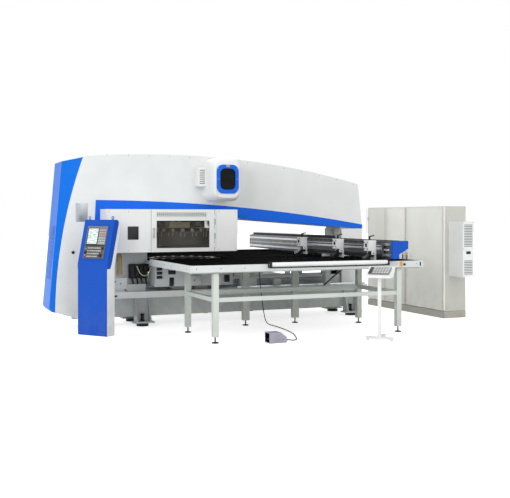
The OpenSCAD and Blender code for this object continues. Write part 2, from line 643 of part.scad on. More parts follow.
clamp_reach = 160;
module clamp_body_at(y) translate([0, y, 0]) {
    difference() {
        block([carriage_x - 120, -clamp_w / 2, table_z + 130], [carriage_x, clamp_w / 2, beam_z1 + 4]);
        post(carriage_x - 70, 0, 9 + fit, table_z + 200, beam_z1 + 10);
    }
    block([carriage_x - 14, -clamp_w / 2, table_z + 1], [carriage_x, clamp_w / 2, table_z + 131]);
    for (s = [-1, 1]) translate([0, s * (clamp_w - cheek) / 2, 0]) difference() {
        block([jaw_pin[0] - 24, -cheek / 2, table_z + 78], [carriage_x - 13, cheek / 2, table_z + 131]);
        translate([jaw_pin[0], -cheek, jaw_pin[1]]) rotate([-90, 0, 0]) cylinder(r = 8 + fit, h = 2 * cheek);
    }
}
module clamp_bodies() color(white) place() for (y = clamp_places) clamp_body_at(y);
module clamp_anvils() color(dark) place() for (y = clamp_places)
    block([carriage_x - clamp_reach, y - clamp_w / 2 + 4, table_z + 1], [carriage_x - 14, y + clamp_w / 2 - 4, table_z + 8]);
jaw_w = clamp_w - 2 * cheek - 2 * gap;
module clamp_jaw(i) color(dark) place() translate([0, clamp_places[i], 0]) union() {
    upright(-jaw_w / 2, jaw_w / 2) polygon([[carriage_x - clamp_reach, table_z + 10], [carriage_x - 90, table_z + 10], [carriage_x - 75, table_z + 40],
        [carriage_x - 32, table_z + 55], [carriage_x - 30, table_z + 112], [carriage_x - 62, table_z + 112], [carriage_x - 80, table_z + 90],
        [carriage_x - clamp_reach, table_z + 30]]);
    translate([jaw_pin[0], -clamp_w / 2 + 2, jaw_pin[1]]) rotate([-90, 0, 0]) cylinder(r = 8, h = clamp_w - 4);
}
module clamp_jaw_1() clamp_jaw(0);
module clamp_jaw_2() clamp_jaw(1);
module clamp_jaw_3() clamp_jaw(2);
module clamp_lever(i) color(dark) place() translate([0, clamp_places[i], 0]) union() {
    post(carriage_x - 70, 0, 9, table_z + 205, beam_z1 + 60);
    post(carriage_x - 70, 0, 16, beam_z1 + 4 + gap, beam_z1 + 14);
    translate([carriage_x - 70, 0, beam_z1 + 52]) rotate([0, 78, 0]) cylinder(r = 8, h = 75);
}

module clamp_lever_1() clamp_lever(0);
module clamp_lever_2() clamp_lever(1);
module clamp_lever_3() clamp_lever(2);

// The operator console, in its own frame: x along its front, y backwards.
module console_frame() place() translate([console_x, console_y, 0]) rotate(console_turn) children();
panel_run = console_h - console_bend_z;
panel_tilt = atan(console_lean / panel_run);
module on_slope(u, up) translate([u, 0, console_bend_z]) rotate([-panel_tilt, 0, 0]) translate([0, 0, up]) children();
module console_body() color(blue) console_frame() {
    difference() {
        upright_side(-console_w / 2, console_w / 2) polygon([[0, 0], [0, console_bend_z], [console_lean, console_h], [console_lean + 60, console_h],
        [console_lean + console_d - 20, console_h - 70], [console_d, console_bend_z - 30], [console_d, 0]]);
        on_slope(stop_u, stop_v) rotate([90, 0, 0]) translate([0, 0, -30]) cylinder(r = 13, h = 60);
    }
    for (s = [-1, 1]) translate([s * (console_w / 2 - 50), console_lean + 30, console_h - 1]) {
        cylinder(r = 9, h = 14);
        translate([0, 0, 26]) rotate([90, 0, 0]) rotate_extrude() translate([16, 0]) circle(r = 5);
    }
}
panel_w = 330;
panel_z = [70, 500];
module console_panel() color([0.45, 0.45, 0.46]) console_frame() difference() {
    on_slope(0, 0) block([-panel_w / 2, -14, panel_z[0]], [panel_w / 2, -gap, panel_z[1]]);
    on_slope(-60, 0) block([-85, -20, 250], [85, -8, 470]);
    on_slope(stop_u, stop_v) rotate([90, 0, 0]) cylinder(r = 11 + fit, h = 40);
}
stop_u = 120;
stop_v = 110;
module console_stop() color([0.1, 0.1, 0.1]) console_frame() on_slope(stop_u, stop_v) rotate([90, 0, 0]) {
    translate([0, 0, 1]) cylinder(r = 11, h = 26);
    translate([0, 0, 26]) cylinder(r = 20, h = 14);
}

// The switch cabinet with its doors and cooling unit.
cab_wall = 20;
cab_l = door_widths[0] + door_widths[1] + door_widths[2];
door_leaf = 24;
door_gap = 0.9;
cab_front = cabinet_x + door_leaf + door_gap;
module cabinet_body() color(grey_white) place() {
    block([cab_front, cabinet_y + 8, 0], [cabinet_x + cabinet_d - 8, cabinet_y + cab_l - 8, plinth_h]);
    difference() {
        block([cab_front, cabinet_y, plinth_h - 1], [cabinet_x + cabinet_d, cabinet_y + cab_l, cabinet_h]);
        for (i = [0:2]) block([cab_front - 1, cab_door_y(i) + cab_wall, plinth_h + cab_wall],
            [cabinet_x + cabinet_d - cab_wall, cab_door_y(i + 1) - cab_wall, cabinet_h - cab_wall]);
    }
}
function cab_door_y(i) = cabinet_y + (i > 0 ? door_widths[0] : 0) + (i > 1 ? door_widths[1] : 0) + (i > 2 ? door_widths[2] : 0);
cab_hinge_r = 7;
cab_hinge_x = cabinet_x - cab_hinge_r - gap;
// A door leaf whose hinge is on its front side (end 0) or on its rear side (end 1).
module cabinet_door(i, end) color(grey_white) place() {
    hinge_side = end == 0 ? cab_door_y(i) + 2 + cab_hinge_r : cab_door_y(i + 1) - 2 - cab_hinge_r;
    inward = end == 0 ? 1 : -1;
    free_side = end == 0 ? cab_door_y(i + 1) - 60 : cab_door_y(i) + 60;
    difference() {
        block([cabinet_x, cab_door_y(i) + 2, plinth_h + 6], [cabinet_x + door_leaf, cab_door_y(i + 1) - 2, cabinet_h - 6]);
        block([cabinet_x + 4, cab_door_y(i) + 24, plinth_h + 28], [cabinet_x + door_leaf + 1, cab_door_y(i + 1) - 24, cabinet_h - 28]);
    }
    for (z = [plinth_h + 160, cabinet_h - 220]) {
        post(cab_hinge_x, hinge_side, cab_hinge_r, z, z + 60);
        block([cabinet_x - 3, min(hinge_side, hinge_side + inward * 36), z], [cabinet_x + 1, max(hinge_side, hinge_side + inward * 36), z + 60]);
    }
    block([cabinet_x - 26, free_side - 14, 820], [cabinet_x, free_side + 14, 970]);
}
module cabinet_door_1() cabinet_door(0, 0);
module cabinet_door_2() cabinet_door(1, 1);
module cabinet_door_3() cabinet_door(2, 1);
cooler_z = [640, 1460];
cooler_x = cabinet_x + 90;
module cooler() color(white) place() difference() {
    block([cooler_x, cabinet_y - cooler_d, cooler_z[0]], [cooler_x + cooler_w, cabinet_y, cooler_z[1]]);
    for (i = [0:13]) block([cooler_x + 24, cabinet_y - cooler_d - 1, 1090 + i * 24], [cooler_x + cooler_w - 24, cabinet_y - cooler_d + 12, 1102 + i * 24]);
    for (i = [0:8]) block([cooler_x + 24, cabinet_y - cooler_d - 1, 680 + i * 24], [cooler_x + cooler_w - 24, cabinet_y - cooler_d + 12, 692 + i * 24]);
}

// The remote stand beside the table.
module remote_stand() color(white) place() translate([stand_x, stand_y, 0]) rotate(stand_turn) {
    block([-stand_bar / 2, -stand_bar_w / 2, 20], [stand_bar / 2, stand_bar_w / 2, 50]);
    for (s = [-1, 1]) post(s * (stand_bar / 2 - 22), 0, 16, 0, 21);
    block([-stand_bar_w / 2, stand_bar_w / 2 - 1, 20], [stand_bar_w / 2, stand_leg, 50]);
    post(0, stand_leg - 25, 16, 0, 21);
    block([-19, -19, 49], [19, 19, 800]);
    difference() {
        upright_side(-stand_head_w / 2, stand_head_w / 2) polygon([[-stand_head_front, 780], [-stand_head_front + 10, 800], [150, 905], [150, 860], [40, 780]]);
        upright_side(-stand_head_w / 2 + 20, stand_head_w / 2 - 20) polygon([[-80, 822], [-82, 830], [120, 912], [122, 904]]);
    }
}

// The foot pedal and its cord.
pedal_l = 230;
pedal_w = 140;
pedal_pin = [pedal_x + pedal_l - 45, 45];
module pedal_hood() color([0.62, 0.6, 0.68]) place() translate([0, pedal_y, 0]) {
    difference() {
        upright(-pedal_w / 2, pedal_w / 2) polygon([[pedal_x, 0], [pedal_x, 130], [pedal_x + 150, 130], [pedal_x + pedal_l, 70], [pedal_x + pedal_l, 0]]);
        upright(-pedal_w / 2 + 6, pedal_w / 2 - 6) polygon([[pedal_x - 1, 12], [pedal_x - 1, 122], [pedal_x + 147, 122], [pedal_x + pedal_l - 6, 66], [pedal_x + pedal_l - 6, 12]]);
        translate([pedal_pin[0], -pedal_w / 2 - 1, pedal_pin[1]]) rotate([-90, 0, 0]) cylinder(r = 5 + fit, h = pedal_w + 2);
    }
    translate([pedal_x + pedal_l - 1, 0, 25]) rotate([0, 90, 0]) cylinder(r = 11, h = 20);
}
module pedal_treadle() color(dark) place() translate([0, pedal_y, 0]) union() {
    block([pedal_x + 14, -pedal_w / 2 + 14, 39], [pedal_pin[0], pedal_w / 2 - 14, 51]);
    translate([pedal_pin[0], -pedal_w / 2 + 1, pedal_pin[1]]) rotate([-90, 0, 0]) cylinder(r = 5, h = pedal_w - 2);
}
cord_r = 6;
cord_route = [[2850, -555, leg_top - rail_h - fit], [2850, -555, 790], [2855, -555, 700], [2870, -552, 540], [2895, -548, 360], [2920, -546, 200],
    [2940, -552, 90], [2955, -585, 28], [2965, -660, 7], [2968, -780, 7], [2962, -1000, 7], [2935, -1300, 7], [2880, -1580, 7],
    [2810, -1800, 7], [2755, -1940, 7], [2715, -2040, 7], [2660, -2120, 8], [2590, -2165, 14], [2540, -2179, 24], [2499.3, -2180, 25]];
cord_steps = 4;
function spline(a, b, c, d, t) = 0.5 * (2 * b + (c - a) * t + (2 * a - 5 * b + 4 * c - d) * t * t + (3 * b - a - 3 * c + d) * t * t * t);
function route_at(i) = cord_route[max(0, min(len(cord_route) - 1, i))];
cord_line = [for (i = [0:len(cord_route) - 2], k = [0:cord_steps - 1])
    spline(route_at(i - 1), route_at(i), route_at(i + 1), route_at(i + 2), k / cord_steps), cord_route[len(cord_route) - 1]];
function unit(v) = v / norm(v);
function cord_dir(i) = unit(cord_line[min(i + 1, len(cord_line) - 1)] - cord_line[max(i - 1, 0)]);
function cord_side(i) = unit(cross(cord_dir(i), [1, 0.2, 0]));
cord_sides = 8;
cord_points = [for (i = [0:len(cord_line) - 1], k = [0:cord_sides - 1])
    let (s = cord_side(i), u = cross(cord_dir(i), s), a = k * 360 / cord_sides) cord_line[i] + cord_r * (cos(a) * s + sin(a) * u)];
cord_last = len(cord_line) - 1;
cord_faces = concat([[for (k = [0:cord_sides - 1]) k]],
    [for (i = [0:cord_last - 1], k = [0:cord_sides - 1]) let (n = (k + 1) % cord_sides, a = i * cord_sides, b = a + cord_sides) [a + k, b + k, b + n, a + n]],
    [[for (k = [cord_sides - 1:-1:0]) cord_last * cord_sides + k]]);
module pedal_cord() color(dark) place() polyhedron(cord_points, cord_faces, convexity = 6);

press_frame();
front_cover();
rear_cover();
top_cover();
right_column_cover();
left_end_cover();
belt_stripe();
ram_hood();
hood_ring();
hood_window();
hood_side_vent();
ram_cylinder();
ram();
turret_upper();
punches();
turret_lower();
turret_bearings();
die_support();
guard_housing();
guard_door();
guard_window();
guard_door_pin();
guard_handle();
rail_beams();
guide_rails();
machine_feet();
base_boxes();
table_tops();
table_rims();
table_legs();
table_rails();
centre_table();
levelling_feet();
loading_roller();
roller_brackets();
cross_beam();
beam_caps();
beam_rails();
saddles();
carriage();
clamp_bodies();
clamp_anvils();
clamp_jaw_1();
clamp_jaw_2();
clamp_jaw_3();
clamp_lever_1();
clamp_lever_2();
clamp_lever_3();
console_body();
console_panel();
console_stop();
cabinet_body();
cabinet_door_1();
cabinet_door_2();
cabinet_door_3();
cooler();
remote_stand();
pedal_hood();
pedal_treadle();
pedal_cord();
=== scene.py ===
"""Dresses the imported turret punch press: camera, pedal cord, finishes, small pieces and studio."""
import logging
import math
import random
from dataclasses import dataclass, field
from enum import Enum
from typing import Iterable, Optional, Sequence

import bmesh
import bpy
from mathutils import Matrix, Vector


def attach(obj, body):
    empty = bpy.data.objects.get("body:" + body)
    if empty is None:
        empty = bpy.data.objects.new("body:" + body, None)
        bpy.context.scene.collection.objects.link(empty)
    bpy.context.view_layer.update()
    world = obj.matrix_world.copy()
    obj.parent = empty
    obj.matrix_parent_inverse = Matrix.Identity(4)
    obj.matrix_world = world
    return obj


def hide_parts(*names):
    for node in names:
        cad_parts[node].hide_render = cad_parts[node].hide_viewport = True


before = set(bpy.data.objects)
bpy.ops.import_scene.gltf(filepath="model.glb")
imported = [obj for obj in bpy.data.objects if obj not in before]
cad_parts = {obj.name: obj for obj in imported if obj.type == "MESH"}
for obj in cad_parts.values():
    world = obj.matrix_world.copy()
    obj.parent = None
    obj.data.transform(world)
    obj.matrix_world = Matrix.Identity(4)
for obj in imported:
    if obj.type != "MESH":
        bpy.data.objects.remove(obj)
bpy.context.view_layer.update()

LOG = logging.getLogger("press_scene")
Vec = Sequence[float]
Box = tuple[tuple[float, float, float], tuple[float, float, float]]
Edges = tuple[float, float, float, float]
Colour = tuple[float, float, float, float]

# The layout frame of the part: millimetres from the press's left end, its front cover and the floor.
CENTRE = Vector((3047.5, -33.99495, 0.0))
MM = 0.001
TO_PART = Matrix.Scale(MM, 4) @ Matrix.Translation(-CENTRE)
SMOOTH_ANGLE = 0.6


class Body(Enum):
    """The rigid bodies that added pieces ride on."""

    PRESS = "press"
    GUARD_DOOR = "guard_door"
    BEAM = "cross_beam"
    CARRIAGE = "carriage"
    DOOR_1 = "cabinet_door_1"
    DOOR_2 = "cabinet_door_2"
    DOOR_3 = "cabinet_door_3"
    TREADLE = "pedal_treadle"
    TURRET_UPPER = "turret_upper"
    TURRET_LOWER = "turret_lower"


class Plane(Enum):
    """The plane that an outline is drawn in, as the axes of its two values and of its depth."""

    YZ = (1, 2, 0)
    XZ = (0, 2, 1)
    XY = (0, 1, 2)

    def point(self, u: float, v: float, depth: float) -> Vector:
        """Turns a point of an outline into a point of the layout.

        Args:
            u: its first value in the plane.
            v: its second value in the plane.
            depth: its place along the third axis.

        Returns:
            The point.
        """
        out = Vector((0.0, 0.0, 0.0))
        for axis, value in zip(self.value, (u, v, depth)):
            out[axis] = value
        return out


def at(x: float, y: float, z: float) -> Vector:
    """Turns a point of the layout frame into the part's frame, in metres."""
    return (Vector((x, y, z)) - CENTRE) * MM


def smooth(pts: Sequence[Vector], steps: int) -> list[Vector]:
    """Draws a smooth line through points.

    Args:
        pts: the points, in order.
        steps: how many pieces the line has from one point to the next.

    Returns:
        The line's points, with the given ones among them.
    """
    out: list[Vector] = []
    for i in range(len(pts) - 1):
        a, b, c, d = pts[max(i - 1, 0)], pts[i], pts[i + 1], pts[min(i + 2, len(pts) - 1)]
        for k in range(steps):
            t = k / steps
            square, cube = 2 * a - 5 * b + 4 * c - d, 3 * b - a - 3 * c + d
            out.append(0.5 * (2 * b + (c - a) * t + square * t ** 2 + cube * t ** 3))
    return out + [pts[-1]]


def turned(x: float, y: float, deg: float) -> Matrix:
    """Returns the frame of something that stands at x, y and is turned about the vertical."""
    return Matrix.Translation((x, y, 0.0)) @ Matrix.Rotation(math.radians(deg), 4, "Z")


# Shader graphs.


class Sock:
    """A value inside a shader graph, with arithmetic that makes the nodes it needs."""

    def __init__(self, graph: "Graph", out: bpy.types.NodeSocket) -> None:
        """Wraps an output socket of a graph."""
        self.graph = graph
        self.out = out

    def _math(self, operation: str, a: "Sock | float", b: "Sock | float") -> "Sock":
        """Returns the value of a new Math node."""
        return self.graph.node("ShaderNodeMath", {0: a, 1: b}, operation=operation)

    def __add__(self, other: "Sock | float") -> "Sock":
        """Returns self + other."""
        return self._math("ADD", self, other)

    def __radd__(self, other: float) -> "Sock":
        """Returns other + self."""
        return self._math("ADD", other, self)

    def __sub__(self, other: "Sock | float") -> "Sock":
        """Returns self - other."""
        return self._math("SUBTRACT", self, other)

    def __rsub__(self, other: float) -> "Sock":
        """Returns other - self."""
        return self._math("SUBTRACT", other, self)

    def __mul__(self, other: "Sock | float") -> "Sock":
        """Returns self * other."""
        return self._math("MULTIPLY", self, other)

    def __rmul__(self, other: float) -> "Sock":
        """Returns other * self."""
        return self._math("MULTIPLY", other, self)

    def clip(self) -> "Sock":
        """Returns the value held between 0 and 1."""
        return self.graph.node("ShaderNodeClamp", {0: self})

    def ramp(self, lo: float, hi: float) -> "Sock":
        """Returns the value spread from 0 at lo to 1 at hi, held at both ends."""
        return self.graph.node("ShaderNodeMapRange", {0: self, 1: lo, 2: hi})


class Graph:
    """The node tree of one material or of the world."""

    def __init__(self, owner: "bpy.types.Material | bpy.types.World", shader: str) -> None:
        """Turns the owner's nodes on.

        Args:
            owner: the material or the world.
            shader: the name of the shader node that its tree starts with.
        """
        owner.use_nodes = True
        self.owner = owner
        self.tree = owner.node_tree
        self.shader = self.tree.nodes[shader]

    @classmethod
    def of_material(cls, name: str) -> "Graph":
        """Returns the graph of a new material."""
        return cls(bpy.data.materials.new(name), "Principled BSDF")

    def node(self, kind: str, inputs: Optional[dict] = None, out: "int | str" = 0, **settings: object) -> Sock:
        """Makes one node.

        Args:
            kind: the node's type name.
            inputs: values or sockets by input index or name.
            out: which output to return.
            settings: attributes of the node, set first.

        Returns:
            The chosen output.
        """
        made = self.tree.nodes.new(kind)
        for key, value in settings.items():
            setattr(made, key, value)
        for key, value in (inputs or {}).items():
            self.feed(made.inputs[key], value)
        return Sock(self, made.outputs[out])

    def feed(self, socket: bpy.types.NodeSocket, value: "Sock | float | Vec") -> None:
        """Links a value to a socket, or sets the socket where the value is a constant.

        Args:
            socket: the input to fill.
            value: what it gets.
        """
        if isinstance(value, Sock):
            self.tree.links.new(value.out, socket)
        else:
            socket.default_value = value

    def set(self, **values: "Sock | float | Vec") -> None:
        """Sets the shader's inputs by name, with _ for a space."""
        for key, value in values.items():
            self.feed(self.shader.inputs[key.replace("_", " ")], value)

    def coords(self) -> Sock:
        """Returns the object coordinates, in metres."""
        return self.node("ShaderNodeTexCoord", out="Object")

    def noise(self, scale: float, detail: float = 2.0, stretch: Optional[Vec] = None) -> Sock:
        """Makes cloudy noise in object space.

        Args:
            scale: how fine it is, in clouds to the metre.
            detail: how many finer layers it has.
            stretch: what the coordinates are multiplied by, for lines along an axis.

        Returns:
            The noise, about 0.5.
        """
        where = self.coords()
        if stretch is not None:
            where = self.node("ShaderNodeVectorMath", {0: where, 1: stretch}, operation="MULTIPLY")
        return self.node("ShaderNodeTexNoise", {"Vector": where, "Scale": scale, "Detail": detail})

    def blend(self, factor: Sock, a: "Vec | Sock", b: "Vec | Sock") -> Sock:
        """Returns a colour between a and b."""
        return self.node("ShaderNodeMix", {0: factor, 6: a, 7: b}, out=2, data_type="RGBA")

    def height(self) -> Sock:
        """Returns the height above the floor."""
        return self.node("ShaderNodeSeparateXYZ", {0: self.coords()}, out=2)

    def bump(self, height: Sock, strength: float, distance: float) -> None:
        """Feeds a bump to the shader's normal."""
        self.set(Normal=self.node("ShaderNodeBump", {"Height": height, "Strength": strength, "Distance": distance}))

    def plain_rays(self) -> Sock:
        """Returns 1 for rays from the camera, off gloss or through glass, and 0 for rays that only light."""
        rays = [self.node("ShaderNodeLightPath", out=f"Is {kind} Ray") for kind in ("Camera", "Glossy", "Transmission")]
        return (rays[0] + rays[1] + rays[2]).clip()


CLOUDY = (0.3, 0.7)


def channel(value: float) -> float:
    """Turns one part of a display colour, from 0 to 255, into its linear value."""
    value /= 255.0
    return value / 12.92 if value <= 0.04045 else ((value + 0.055) / 1.055) ** 2.4


def linear(r: float, g: float, b: float) -> Colour:
    """Turns a display colour with parts from 0 to 255 into a linear colour."""
    return (channel(r), channel(g), channel(b), 1.0)


@dataclass(frozen=True)
class Finish:
    """A surface finish; kinds of finish override shade()."""

    name: str
    colour: tuple[float, float, float]
    rough: float = 0.45
    slot: str = "white_paint"

    def shade(self, g: Graph) -> None:
        """Fills the graph of one material."""
        raise NotImplementedError

    def material(self) -> bpy.types.Material:
        """Makes a material with this finish.

        Returns:
            The new material.
        """
        g = Graph.of_material(self.name)
        self.shade(g)
        g.owner.diffuse_color = linear(*self.colour)
        return g.owner

    def tone(self, factor: float) -> Colour:
        """Returns the colour made lighter or darker."""
        r, g, b, a = linear(*self.colour)
        return (min(r * factor, 1.0), min(g * factor, 1.0), min(b * factor, 1.0), a)


@dataclass(frozen=True)
class Paint(Finish):
    """Powder coat: fine orange peel, slight clouding, and dust towards the floor."""

    peel: float = 0.12
    coat: float = 0.1
    dust: float = 0.25
    gloss: float = 0.4
    dust_top: float = 0.55
    dust_colour: tuple[float, float, float] = (150, 142, 128)
    cloud_scale: float = 2.4
    dust_scale: float = 9.0
    peel_scale: float = 900.0
    peel_height: float = 0.0006

    def shade(self, g: Graph) -> None:
        """Fills the graph of one paint.

        Args:
            g: the material's graph.
        """
        cloud = g.noise(self.cloud_scale, 4.0)
        low = (g.height().ramp(self.dust_top, 0.0) * g.noise(self.dust_scale, 5.0).ramp(0.35, 0.7)) * self.dust
        base = g.blend(cloud.ramp(*CLOUDY), self.tone(0.955), self.tone(1.03))
        g.set(Base_Color=g.blend(low, base, linear(*self.dust_colour)))
        g.set(Roughness=(cloud * 0.16 + (self.rough - 0.08)).clip(), Coat_Weight=self.coat, Coat_Roughness=0.25,
              Specular_IOR_Level=self.gloss)
        g.bump(g.noise(self.peel_scale, 2.0), self.peel, self.peel_height)


@dataclass(frozen=True)
class Steel(Finish):
    """Ground or turned steel with fine lines along one axis and a faint oil film."""

    grain: tuple[float, float, float] = (1.0, 1.0, 30.0)
    metal: float = 0.85
    line_scale: float = 60.0
    line_depth: float = 0.15
    line_height: float = 0.0008
    film_scale: float = 7.0

    def shade(self, g: Graph) -> None:
        """Fills the graph of one steel.

        Args:
            g: the material's graph.
        """
        lines = g.noise(self.line_scale, 6.0, self.grain)
        film = g.noise(self.film_scale, 4.0)
        g.set(Base_Color=g.blend(lines.ramp(*CLOUDY), self.tone(0.82), self.tone(1.12)), Metallic=self.metal,
              Roughness=(film * 0.2 + lines * 0.14 + (self.rough - 0.15)).clip())
        g.bump(lines, self.line_depth, self.line_height)


@dataclass(frozen=True)
class Plastic(Finish):
    """Moulded plastic or rubber with a fine spark texture."""

    grain: float = 700.0
    depth: float = 0.2
    gloss: float = 0.4
    grain_height: float = 0.0008
    cloud_scale: float = 6.0

    def shade(self, g: Graph) -> None:
        """Fills the graph of one plastic.

        Args:
            g: the material's graph.
        """
        spark = g.noise(self.grain, 3.0)
        cloud = g.noise(self.cloud_scale, 3.0)
        g.set(Base_Color=g.blend(cloud.ramp(*CLOUDY), self.tone(0.85), self.tone(1.15)))
        g.set(Roughness=(spark * 0.2 + (self.rough - 0.1)).clip(), Specular_IOR_Level=self.gloss)
        g.bump(spark, self.depth, self.grain_height)


@dataclass(frozen=True)
class Bristle(Finish):
    """A field of dense black bristle tufts."""

    pitch: float = 0.025
    gloss: float = 0.06
    hair_scale: float = 420.0
    tuft_depth: float = 0.6
    tuft_height: float = 0.004

    def shade(self, g: Graph) -> None:
        """Fills the graph of the brush tables' tops.

        Args:
            g: the material's graph.
        """
        cells = g.node("ShaderNodeTexVoronoi", {"Vector": g.coords(), "Scale": 1.0 / self.pitch, "Randomness": 0.25})
        tuft = cells.ramp(0.6, 0.0)
        hair = g.noise(self.hair_scale, 4.0)
        # Lighter in the middle of each tuft and darker between tufts: painted highlight on the tufts' tops and painted
        # shade in the gaps.
        g.set(Base_Color=g.blend((tuft * hair).clip(), self.tone(0.45), self.tone(1.5)))
        g.set(Roughness=(hair * 0.25 + (self.rough - 0.1)).clip(), Specular_IOR_Level=self.gloss)
        g.bump(tuft * 0.7 + hair * 0.3, self.tuft_depth, self.tuft_height)


@dataclass(frozen=True)
class Glass(Finish):
    """Tinted sheet with faint smears; veil is how much light it stops."""

    veil: float = 0.6
    coat: float = 0.4
    gloss: float = 0.4
    smear_scale: float = 5.0
    smear_run: tuple[float, float, float] = (1.0, 1.0, 3.0)

    def shade(self, g: Graph) -> None:
        """Fills the graph of one pane.

        Args:
            g: the material's graph.
        """
        smear = g.noise(self.smear_scale, 6.0, self.smear_run)
        g.set(Base_Color=g.blend(smear.ramp(0.35, 0.7), self.tone(0.9), self.tone(1.35)))
        g.set(Roughness=(smear * 0.12 + (self.rough - 0.05)).clip(), Alpha=(smear * 0.1 + (self.veil - 0.05)).clip())
        g.set(Coat_Weight=self.coat, Coat_Roughness=0.04, Specular_IOR_Level=self.gloss)
        g.owner.surface_render_method = "BLENDED"


@dataclass(frozen=True)
class Lamp(Finish):
    """A lit display: soft bands of light behind a glossy pane."""

    glow: float = 0.6
    coat: float = 0.5
    band_scale: float = 26.0
    band_run: tuple[float, float, float] = (1.0, 1.0, 4.0)

    def shade(self, g: Graph) -> None:
        """Fills the graph of the display.

        Args:
            g: the material's graph.
        """
        bands = g.noise(self.band_scale, 2.0, self.band_run)
        tint = g.blend(bands.ramp(0.4, 0.6), self.tone(0.6), self.tone(1.3))
        g.set(Base_Color=tint, Roughness=self.rough, Coat_Weight=self.coat)
        g.set(Emission_Color=tint, Emission_Strength=self.glow)


ALONG_BEAM = (30.0, 1.0, 30.0)
ACROSS_BEAM = (1.0, 30.0, 1.0)

WHITE = Paint("white_paint", (234, 235, 233), 0.42, dust=0.3)
# A darker copy of the white paint for the press covers: painted shade.
SHADED_COVER_WHITE = Paint("shaded_cover_white_paint", (225, 227, 226), 0.42, dust=0.3)
SOFT_WHITE = Paint("soft_white_paint", (212, 216, 214), 0.45, "grey_paint", dust=0.35)
BLUE = Paint("stripe_blue_paint", (8, 101, 224), 0.4, "blue_paint", coat=0.0, dust=0.06, gloss=0.2)
CONSOLE_BLUE = Paint("console_blue_paint", (6, 79, 186), 0.4, "blue_paint", coat=0.0, dust=0.08, gloss=0.22)
END_BLUE = Paint("end_cover_blue_paint", (8, 114, 224), 0.4, "blue_paint", coat=0.0, dust=0.12, gloss=0.14)
LEG_GREY = Paint("leg_grey_paint", (206, 212, 205), 0.45, "grey_paint", dust=0.4)
FRAME_GREY = Paint("frame_grey_paint", (206, 212, 210), 0.5, "frame_paint", dust=0.45)
# The cabinet's body and doors share one paint: the body's copy is darker, painted shade, and the doors' copy is
# lighter, painted light.
SHADED_CABINET = Paint("cabinet_paint", (196, 196, 188), 0.48, "cabinet_paint", peel=0.3, dust=0.2)
LIT_CABINET_DOOR = Paint("lit_cabinet_door_paint", (236, 235, 228), 0.48, "cabinet_paint", peel=0.3, dust=0.2)
PLINTH = Paint("plinth_paint", (176, 175, 166), 0.55, "cabinet_paint", dust=0.5)
CREAM = Paint("cream_paint", (206, 198, 160), 0.45, "grey_paint", dust=0.1)
AMBER = Paint("amber_paint", (222, 160, 40), 0.4, "blue_paint", dust=0.1)
TAN = Paint("tan_paint", (170, 148, 104), 0.45, "blue_paint", dust=0.1)
GROUND = Steel("ground_steel", (168, 172, 176), 0.36, "ground_steel")
RAIL = Steel("rail_steel", (190, 194, 198), 0.26, "ground_steel", ALONG_BEAM)
BEAM_GREY = Steel("beam_steel", (118, 119, 121), 0.42, "ground_steel", ALONG_BEAM)
GUNMETAL = Steel("carriage_steel", (96, 97, 99), 0.42, "ground_steel", ACROSS_BEAM)
TURRET_GREY = Steel("turret_steel", (84, 84, 80), 0.46, "ground_steel")
TURNED = Steel("punch_steel", (172, 160, 128), 0.34, "tool_steel", (1.0, 1.0, 40.0))
BLACKENED = Steel("blackened_steel", (44, 45, 48), 0.46, "dark_steel")
OXIDE = Plastic("black_oxide", (15, 16, 17), 0.85, "dark_steel", gloss=0.06)
BRISTLE = Bristle("brush_bristle", (9, 10, 11), 0.9, "brush")
SMOKED = Glass("guard_window_sheet", (74, 70, 62), 0.1, "smoked_glass", veil=0.26, coat=0.1, gloss=0.3)
DARK_GLASS = Glass("hood_window_glass", (20, 21, 18), 0.1, "dark_glass", veil=0.95, coat=0.0, gloss=0.12)
SCREEN = Lamp("console_display", (188, 204, 196), 0.15, "dark_glass", glow=0.45)
PANEL_GREY = Plastic("panel_plastic", (118, 118, 121), 0.5, "panel_plastic")
DARK_PANEL = Plastic("dark_panel_plastic", (84, 81, 79), 0.5, "panel_plastic")
KEY_GREY = Plastic("grey_key_plastic", (192, 193, 190), 0.45, "panel_plastic", depth=0.08)
KEY_WARM = Plastic("warm_key_plastic", (186, 168, 166), 0.45, "panel_plastic", depth=0.08)
KEY_GREEN = Plastic("green_key_plastic", (150, 178, 150), 0.45, "panel_plastic", depth=0.08)
HOSE_PALE = Plastic("pale_hose_plastic", (214, 206, 170), 0.45, "panel_plastic", depth=0.08)
# Dark seam rubber on the guard door, and painted shadow of the gaps along the cabinet doors' edges.
SEAM_AND_GAP_SHADOW = Plastic("seam_rubber_and_gap_shadow", (96, 96, 92), 0.7, "cabinet_paint")
BLACK_PLASTIC = Plastic("black_plastic", (24, 24, 26), 0.45, "black_plastic")
PEDAL_GREY = Plastic("pedal_plastic", (160, 156, 172), 0.5, "pedal_plastic")
RUBBER = Plastic("black_rubber", (20, 20, 21), 0.7, "black_rubber")

